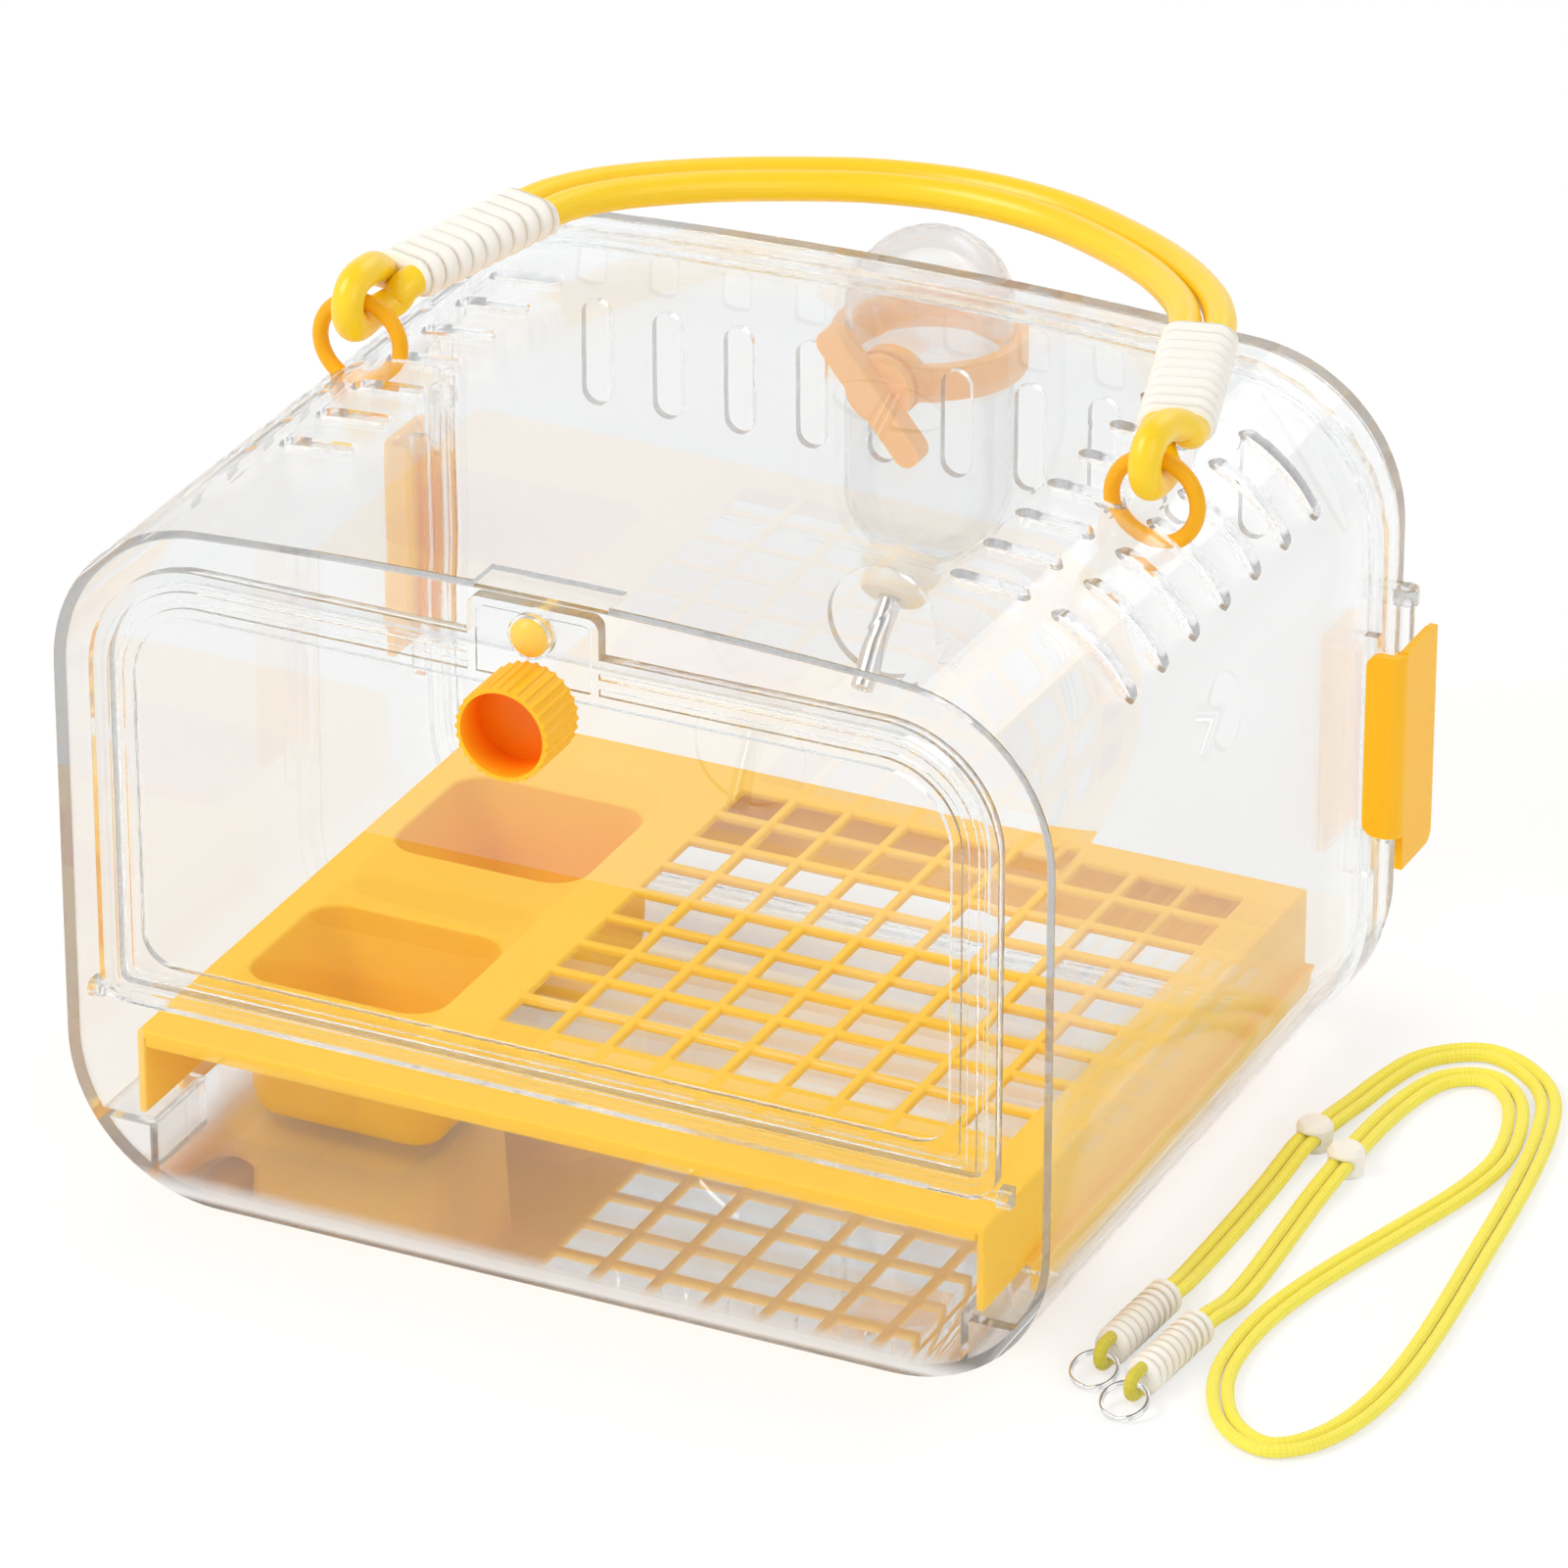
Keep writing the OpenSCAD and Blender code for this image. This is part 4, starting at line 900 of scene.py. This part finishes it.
def handle_route():
    """The handle cord's route, from inside the left sleeve all the way round and back into it."""
    outer, inner = beside(HANDLE_MID, -STRAND_GAP)[1:], beside(HANDLE_MID, STRAND_GAP)[1:]
    turn_r = 2 * MM + HANDLE_R + 0.3 * MM
    turn = [[RING_X + 1.5 * MM, 12 * MM, 3.6 * MM], [RING_X + 0.3 * MM, 6.5 * MM, 5.8 * MM]]
    for degrees in range(0, 181, 36):
        a = math.radians(degrees)
        turn.append([RING_X, -turn_r * math.sin(a), turn_r * math.cos(a)])
    turn += [[RING_X - 0.3 * MM, 6.5 * MM, -5.8 * MM], [RING_X - 3.7 * MM, 11.5 * MM, -3.8 * MM]]
    right = np.vstack([outer, turn, inner[::-1]])
    left = right[::-1] * [-1, 1, 1]
    join = len(left) - len(outer) + 1
    last = 0.6 * left[join - 1] + 0.4 * left[join]
    route = np.vstack([left[join:-1], right, left[1:join], last])
    return smooth_route(route, 8) + [0, RING_Y, AXIS_Z]


def strap_end(index):
    """Matrix of an end of the strap: X points away from the cords."""
    start, inner = STRAP_ROUTE[:2] if index == 0 else STRAP_ROUTE[:-3:-1]
    turn = math.atan2(start[1] - inner[1], start[0] - inner[0])
    return Matrix.Translation(start) @ Matrix.Rotation(turn, 4, "Z")


# Operators


class CARRIER_OT_stage(bpy.types.Operator):
    """Make the camera, the lamps, the world and the floor"""

    bl_idname = "carrier.stage"
    bl_label = "Stage"

    def execute(self, context):
        settings = context.scene.carrier_stage
        self.camera(context, settings)
        self.floor(context, settings)
        self.world(context, settings)
        self.lamps(context, settings)
        context.scene.view_settings.view_transform = "Standard"
        light = context.scene.cycles
        light.max_bounces = light.transmission_bounces = light.transparent_max_bounces = 24
        return {"FINISHED"}

    def camera(self, context, settings):
        azimuth, elevation = math.radians(25.57), math.radians(26.88)
        across, above, away = 0.01066, 0.07774, 2.3148
        level = math.cos(elevation)
        back = Vector((math.sin(azimuth) * level, -math.cos(azimuth) * level, math.sin(elevation)))
        right = Vector((math.cos(azimuth), math.sin(azimuth), 0))
        up = back.cross(right)
        camera = bpy.data.objects.new("camera", bpy.data.cameras.new("camera"))
        camera.data.lens = settings.lens
        camera.data.sensor_width = 36
        camera.location = right * across + up * above + back * away
        camera.rotation_mode = "QUATERNION"
        camera.rotation_quaternion = (-back).to_track_quat("-Z", "Y")
        camera.data.clip_start, camera.data.clip_end = 0.05, 60
        context.scene.collection.objects.link(camera)
        context.scene.camera = camera

    def floor(self, context, settings):
        mesh = bpy.data.meshes.new("floor")
        half = 7.0
        corners = [(-half, -half, 0), (half, -half, 0), (half, half, 0), (-half, half, 0)]
        mesh.from_pydata(corners, [], [(0, 1, 2, 3)])
        floor = bpy.data.objects.new("floor", mesh)
        floor.location.z = -0.0002
        context.scene.collection.objects.link(floor)
        finish = Finish("floor_white", settings.floor, roughness=0.9, specular_ior_level=0.0)
        rays = finish.add("LightPath")
        seen = finish.maths("MAXIMUM", finish.read(rays, "Is Camera Ray"), finish.maths(
            "MAXIMUM", finish.read(rays, "Is Glossy Ray"), finish.read(rays, "Is Transmission Ray")))
        white = finish.add("Emission", inputs={"Color": (1, 1, 1, 1), "Strength": 1.0})
        finish.surface(finish.blend(seen * SEEN_FLOOR, finish.shader.outputs[0], white.outputs[0]))
        mesh.materials.append(finish.material)
        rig.stage(floor)

    def world(self, context, settings):
        world = bpy.data.worlds.new("studio")
        world.use_nodes = True
        context.scene.world = world
        tree = world.node_tree
        tree.nodes.clear()
        new, join = tree.nodes.new, tree.links.new
        rays, coordinates = new("ShaderNodeLightPath"), new("ShaderNodeTexCoord")
        parts = new("ShaderNodeSeparateXYZ")
        join(coordinates.outputs["Generated"], parts.inputs[0])
        heights = new("ShaderNodeValToRGB")
        stops = heights.color_ramp.elements
        stops[0].position, stops[0].color = 0.35, (1, 1, 1, 1)
        stops[1].position, stops[1].color = 0.85, (0.24, 0.25, 0.27, 1)
        join(parts.outputs["Z"], heights.inputs[0])
        ambient, seen, mirrored = (new("ShaderNodeBackground") for _ in range(3))
        ambient.inputs["Color"].default_value = (1, 0.995, 0.985, 1)
        ambient.inputs["Strength"].default_value = settings.ambient
        seen.inputs["Color"].default_value = (1, 1, 1, 1)
        join(heights.outputs[0], mirrored.inputs["Color"])
        both = new("ShaderNodeMath")
        both.operation = "MAXIMUM"
        join(rays.outputs["Is Glossy Ray"], both.inputs[0])
        join(rays.outputs["Is Transmission Ray"], both.inputs[1])
        light = ambient.outputs[0]
        for share, high in ((both.outputs[0], mirrored), (rays.outputs["Is Camera Ray"], seen)):
            mix = new("ShaderNodeMixShader")
            for socket, source in zip(mix.inputs, (share, light, high.outputs[0])):
                join(source, socket)
            light = mix.outputs[0]
        join(light, new("ShaderNodeOutputWorld").inputs["Surface"])

    def lamps(self, context, settings):
        target = Vector((0, 0, 0.08))
        for name, place, size, power, tone in (
            ("key_lamp", (-1.1, -1.0, 1.7), 1.1, settings.key_power, (1, 0.985, 0.96)),
            ("fill_lamp", (1.5, -0.8, 1.2), 1.3, settings.fill_power, (0.97, 0.985, 1)),
            ("back_lamp", (0.3, 1.6, 1.5), 1.2, settings.fill_power, (1, 1, 1)),
        ):
            lamp = bpy.data.lights.new(name, "AREA")
            lamp.shape, lamp.size, lamp.energy, lamp.color = "SQUARE", size, power, tone
            light = bpy.data.objects.new(name, lamp)
            light.location = place
            light.rotation_mode = "QUATERNION"
            light.rotation_quaternion = (target - Vector(place)).to_track_quat("-Z", "Y")
            context.scene.collection.objects.link(light)


class CARRIER_OT_handle(bpy.types.Operator):
    """Make the handle's cord and ribbed sleeves and finish its two rings"""

    bl_idname = "carrier.handle"
    bl_label = "Handle"

    def execute(self, context):
        route = handle_route()
        mesh = tube("handle_rope", route, HANDLE_R, 28)
        cord = place_piece("handle_rope", mesh, "handle", "handle_cord", "handle_sheath")
        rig.replaces(cord, "handle_cord")
        near = HANDLE_MID[-1]
        run = HANDLE_MID[-3] - near
        sleeves = []
        for side, end in ((1, "right"), (-1, "left")):
            start = Vector((side * near[0], near[1] + RING_Y, near[2] + AXIS_Z))
            turn = math.atan2(run[1], side * run[0])
            rise = math.asin(run[2] / GRIP_L)
            matrix = Matrix.Translation(start)
            matrix = matrix @ Matrix.Rotation(turn, 4, "Z") @ Matrix.Rotation(-rise, 4, "Y")
            name = f"grip_sleeve_{end}"
            mesh = ribbed_sleeve(
                name, GRIP_L, STRAND_GAP, HANDLE_R + 1.3 * MM, GRIP_RIBS, sizes().rib_depth, matrix,
            )
            sleeve = place_piece(name, mesh, "handle", "sleeve_white", "grip_sleeve")
            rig.replaces(sleeve, f"handle_sleeve_{end}")
            sleeves.append(sleeve)
            dress(f"ring_{end}", "ring_orange", 0)
        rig.cord(
            cord, exit=route[0], length=route_length(route), diameter=2 * HANDLE_R, far_end="object",
            stiffness="stiff", lay="taut", path=route, with_pieces=sleeves,
        )
        return {"FINISHED"}


class CARRIER_OT_strap(bpy.types.Operator):
    """Make the shoulder strap: two braided cords, ribbed sleeves, loops, split rings and sliders"""

    bl_idname = "carrier.strap"
    bl_label = "Shoulder strap"

    def execute(self, context):
        going = []
        for index, end in ((0, "a"), (1, "b")):
            matrix = strap_end(index)
            grip, eye, split = f"strap_grip_{end}", f"strap_eye_{end}", f"split_ring_{end}"
            sleeve = ribbed_sleeve(
                grip, SLEEVE_L, 0.0, SLEEVE_R, SLEEVE_RIBS, sizes().rib_depth, matrix,
            )
            for name, mesh, slot, material, node in (
                (grip, sleeve, "sleeve_white", "strap_sleeve", "strap_sleeve"),
                (eye, self.loop(eye, matrix), "strap_cord", "strap_loop_braid", "strap_loop"),
                (split, self.split_ring(split, matrix), "steel", "polished_steel", "strap_ring"),
            ):
                going.append(place_piece(name, mesh, "cabin", slot, material))
                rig.replaces(going[-1], f"{node}_{end}")
            going.append(dress(f"strap_slider_{end}", "trim_white", FINE_ROUND))
        middle = smooth_route(STRAP_ROUTE, 2)
        for side, name, pieces in ((1, "outer", going), (-1, "inner", [])):
            route = smooth_route(beside(middle, side * STRAP_GAP), 5)
            mesh = tube(f"strap_braid_{name}", route, STRAP_R, 20)
            cord = place_piece(f"strap_braid_{name}", mesh, "cabin", "strap_cord", "strap_braid")
            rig.replaces(cord, f"strap_cord_{name}")
            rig.cord(
                cord, exit=route[0], length=route_length(route), diameter=2 * STRAP_R, far_end="object",
                stiffness="limp", lay="loose", path=route, with_pieces=pieces,
            )
            # As in the photograph, the clear side wall doesn't mirror the strap
            for piece in (cord, *pieces):
                piece.visible_glossy = False
        return {"FINISHED"}

    def loop(self, name, matrix):
        """Short loop of cord that leaves a sleeve and holds its ring."""
        angles = np.linspace(-math.pi / 2, math.pi / 2, 17)
        bend = [[LOOP_L + LOOP_R * math.cos(a), 0, LOOP_R * math.sin(a)] for a in angles]
        start, end = [[-1 * MM, 0, -LOOP_R], [0, 0, -LOOP_R]], [[0, 0, LOOP_R], [-1 * MM, 0, LOOP_R]]
        route = np.array(start + bend + end)
        mesh = tube(name, route + [SLEEVE_L, 0, 0], STRAP_R, 18, (0, 1, 0))
        mesh.transform(matrix)
        return mesh

    def split_ring(self, name, matrix):
        """Flat wire wound nearly twice round, as on a key ring."""
        wire, turns, first, steps = 0.46 * MM, 1.92, 0.6, 150
        wound = np.linspace(0, turns, steps)
        rise = wire * np.interp(wound, [0, 0.86, 1, turns], [-1, -0.9, 0.9, 1])
        angle = 2 * math.pi * wound + first
        route = np.stack([SPLIT_R * np.cos(angle), SPLIT_R * np.sin(angle), rise], axis=1)
        mesh = tube(name, route, wire, 12)
        lean = math.asin((STRAP_ROUTE[0][2] - SPLIT_WIRE) / (2 * SPLIT_R))
        matrix = matrix @ Matrix.Translation((SLEEVE_L + LOOP_L, 0, 0))
        mesh.transform(matrix @ Matrix.Rotation(lean, 4, "Y") @ Matrix.Translation((SPLIT_R, 0, 0)))
        return mesh


class CARRIER_OT_cabin(bpy.types.Operator):
    """Finish the clear cabin, its rear cover and the clips' hinge rods"""

    bl_idname = "carrier.cabin"
    bl_label = "Cabin"

    def execute(self, context):
        rounding = sizes().clear_round
        dress("shell", "clear_cabin", rounding, 3)
        for node in ("rear_cover", "clip_rod_left", "clip_rod_right"):
            dress(node, "clear_wall", rounding)
        return {"FINISHED"}


class CARRIER_OT_door(bpy.types.Operator):
    """Finish the front door with its latch button, knob and stud"""

    bl_idname = "carrier.door"
    bl_label = "Front door"

    def execute(self, context):
        dress("door", "clear_wall", sizes().door_round)
        dress("latch_button", "button_yellow", FINE_ROUND)
        for node in ("knob", "knob_stud"):
            dress(node, "knob_moulding", FINE_ROUND)
        return {"FINISHED"}


class CARRIER_OT_tray(bpy.types.Operator):
    """Make the tray as one moulding: deck with skirts and lip, square grate and two food cups"""

    bl_idname = "carrier.tray"
    bl_label = "Tray"

    def execute(self, context):
        rounding = sizes().tray_round
        mesh = one_solid("tray_moulding", [soften(self.deck(), rounding), *self.edges(rounding)])
        tray = place_piece("tray_moulding", mesh, "cabin", "yellow_plastic", "tray_yellow")
        round_edges(tray, 0)
        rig.replaces(tray, "deck", "grate", "cup_front", "cup_rear")
        return {"FINISHED"}

    def deck(self):
        """Deck plate with its grate and both cups, whose rims are rounded into the deck."""
        shape = bmesh.new()

        def ring(outline, centre, z):
            return [shape.verts.new((x + centre[0], y + centre[1], z)) for x, y in outline]

        def skin(rings, last=False):
            for a, b in zip(rings, rings[1:]):
                for i in range(len(a)):
                    j = (i + 1) % len(a)
                    shape.faces.new((a[i], a[j], b[j], b[i]))
            if last:
                shape.faces.new(rings[-1])

        def fill(loops):
            edges = []
            for loop in loops:
                for i in range(len(loop)):
                    pair = (loop[i], loop[(i + 1) % len(loop)])
                    edges.append(shape.edges.get(pair) or shape.edges.new(pair))
            made = bmesh.ops.triangle_fill(shape, edges=edges, use_beauty=True)["geom"]
            faces = {g for g in made if isinstance(g, bmesh.types.BMFace)}
            within = [e for e in shape.edges if len(e.link_faces) == 2 and faces.issuperset(e.link_faces)]
            bmesh.ops.dissolve_limit(shape, angle_limit=0.01, verts=[], edges=within)

        middle, low, high = (0, (DECK_FRONT + DECK_BACK) / 2), DECK_Z - DECK_T, DECK_Z
        half_l = (DECK_BACK - DECK_FRONT) / 2
        edge = [(DECK_HW, half_l), (-DECK_HW, half_l), (-DECK_HW, -half_l), (DECK_HW, -half_l)]
        outer = [ring(edge, middle, z) for z in (high, low)]
        skin(outer)
        tops, bottoms = [outer[0]], [outer[1]]
        for length, y in CUPS:
            def level(inset, z, grow=0.0):
                size = [half - inset + grow for half in (CUP_HW, length / 2, CUP_CORNER)]
                return ring(rounded_outline(*size, 8), (CUP_X, y), z)

            rim = [
                level(0, high - RIM * (1 - math.cos(a)), RIM * (1 - math.sin(a)))
                for a in np.linspace(0, math.pi / 2, 5)
            ]
            inner = rim + [level(i, z + CUP_WALL) for i, z in CUP_STEPS]
            skin(inner, last=True)
            walls = [level(0, low, CUP_WALL)] + [level(i, z, CUP_WALL) for i, z in CUP_STEPS]
            skin(walls, last=True)
            tops.append(rim[0])
            bottoms.append(walls[0])
        half = (GRATE_PITCH - GRATE_BAR) / 2
        square = np.array([[half, half], [-half, half], [-half, -half], [half, -half]])
        for i in range(GRATE_COUNT):
            for j in range(GRATE_COUNT):
                centre = (
                    GRATE_X + (i - (GRATE_COUNT - 1) / 2) * GRATE_PITCH,
                    GRATE_Y + (j - (GRATE_COUNT - 1) / 2) * GRATE_PITCH,
                )
                hole = [ring(square, centre, z) for z in (high, low)]
                skin(hole)
                tops.append(hole[0])
                bottoms.append(hole[1])
        fill(tops)
        fill(bottoms)
        bmesh.ops.recalc_face_normals(shape, faces=shape.faces)
        return shape

    def edges(self, rounding):
        """Front lip, rear skirt and stepped side skirts that hang from the deck."""
        top, inner, outer = DECK_Z - DECK_T / 2, DECK_HW - SKIRT_T, DECK_HW + SKIRT_STEP
        lip = box_between((-inner, DECK_FRONT, DECK_Z - LIP_H), (inner, DECK_FRONT + LIP_T, top))
        rear = box_between((-inner, DECK_BACK - SKIRT_T, STEP_Z), (inner, DECK_BACK, top))
        for shape in (lip, rear):
            yield soften(shape, rounding, lambda p: p.z > top - INSET)
        for side in (1, -1):
            straight = box_between((inner, DECK_FRONT, STEP_Z), (DECK_HW, DECK_BACK, top))
            step = prism_along_y([
                (inner + INSET, STEP_Z), (inner + INSET, STEP_Z + SKIRT_T), (outer, STEP_Z + SKIRT_T),
                (outer, SKIRT_LOW), (outer - SKIRT_T, SKIRT_LOW), (outer - SKIRT_T, STEP_Z),
            ], DECK_FRONT + STEP_AHEAD, DECK_BACK)
            soften(straight, rounding, lambda p: p.z > top - INSET)
            soften(step, rounding, lambda p: p.x < inner + 2 * INSET)
            for shape in (straight, step):
                if side < 0:
                    bmesh.ops.transform(shape, matrix=Matrix.Scale(-1, 4, (1, 0, 0)), verts=shape.verts)
                    bmesh.ops.reverse_faces(shape, faces=shape.faces)
                yield shape


class CARRIER_OT_clips(bpy.types.Operator):
    """Finish the two side clips"""

    bl_idname = "carrier.clips"
    bl_label = "Side clips"

    def execute(self, context):
        for side in ("left", "right"):
            dress(f"side_clip_{side}", "clip_moulding", sizes().plastic_round)
        return {"FINISHED"}


class CARRIER_OT_bottle(bpy.types.Operator):
    """Finish the water bottle, its cap and drinking tube, and the clamp that holds it"""

    bl_idname = "carrier.bottle"
    bl_label = "Water bottle"

    def execute(self, context):
        dress("bottle", "clear_bottle", FINE_ROUND)
        neck = Matrix.Translation(NECK_PLACE) @ Matrix.Rotation(math.pi - NECK_TILT, 4, "X")
        mesh = turned("screw_cap", CAP_WALL, neck)
        cap = place_piece("screw_cap", mesh, "bottle_spout", "white_plastic", "cap_white")
        round_edges(cap, 0)
        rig.replaces(cap, "bottle_cap")
        dress("cap_seal", "seal_silicone", 0)
        dress("drinking_tube", "polished_steel", TUBE_ROUND).visible_glossy = False
        dress("valve_ball", "polished_steel", 0)
        for node in ("bottle_clamp", "clamp_wing"):
            dress(node, "clamp_apricot", sizes().plastic_round)
        return {"FINISHED"}


class CARRIER_PT_pieces(bpy.types.Panel):
    """The carrier's pieces and settings"""

    bl_idname = "CARRIER_PT_pieces"
    bl_label = "Bird travel carrier"
    bl_space_type = "VIEW_3D"
    bl_region_type = "UI"
    bl_category = "Carrier"

    def draw(self, context):
        for group in SETTINGS:
            settings = getattr(context.scene, group)
            box = self.layout.box()
            for name in settings.__annotations__:
                box.prop(settings, name)
        column = self.layout.column()
        for operator in OPERATORS:
            column.operator(operator.bl_idname)


OPERATORS = (
    CARRIER_OT_stage, CARRIER_OT_handle, CARRIER_OT_strap, CARRIER_OT_cabin,
    CARRIER_OT_door, CARRIER_OT_tray, CARRIER_OT_clips, CARRIER_OT_bottle,
)
SETTINGS = {"carrier_colours": CarrierColours, "carrier_sizes": CarrierSizes, "carrier_stage": CarrierStage}


def register():
    for kind in (*SETTINGS.values(), *OPERATORS, CARRIER_PT_pieces):
        bpy.utils.register_class(kind)
    for name, kind in SETTINGS.items():
        setattr(bpy.types.Scene, name, bpy.props.PointerProperty(type=kind))


def unregister():
    for name in SETTINGS:
        delattr(bpy.types.Scene, name)
    for kind in (CARRIER_PT_pieces, *reversed(OPERATORS), *reversed(list(SETTINGS.values()))):
        bpy.utils.unregister_class(kind)


def main():
    """Builds every piece in order and writes the finished model's box beside the CAD's to extents.json."""
    register()
    for operator in OPERATORS:
        group, name = operator.bl_idname.split(".")
        getattr(getattr(bpy.ops, group), name)()
    finished = [list(corner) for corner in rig.bounds()]
    with open("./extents.json", "w") as file:
        json.dump({"cad": CAD_BOX, "visual": finished}, file)


if __name__ == "__main__":
    main()
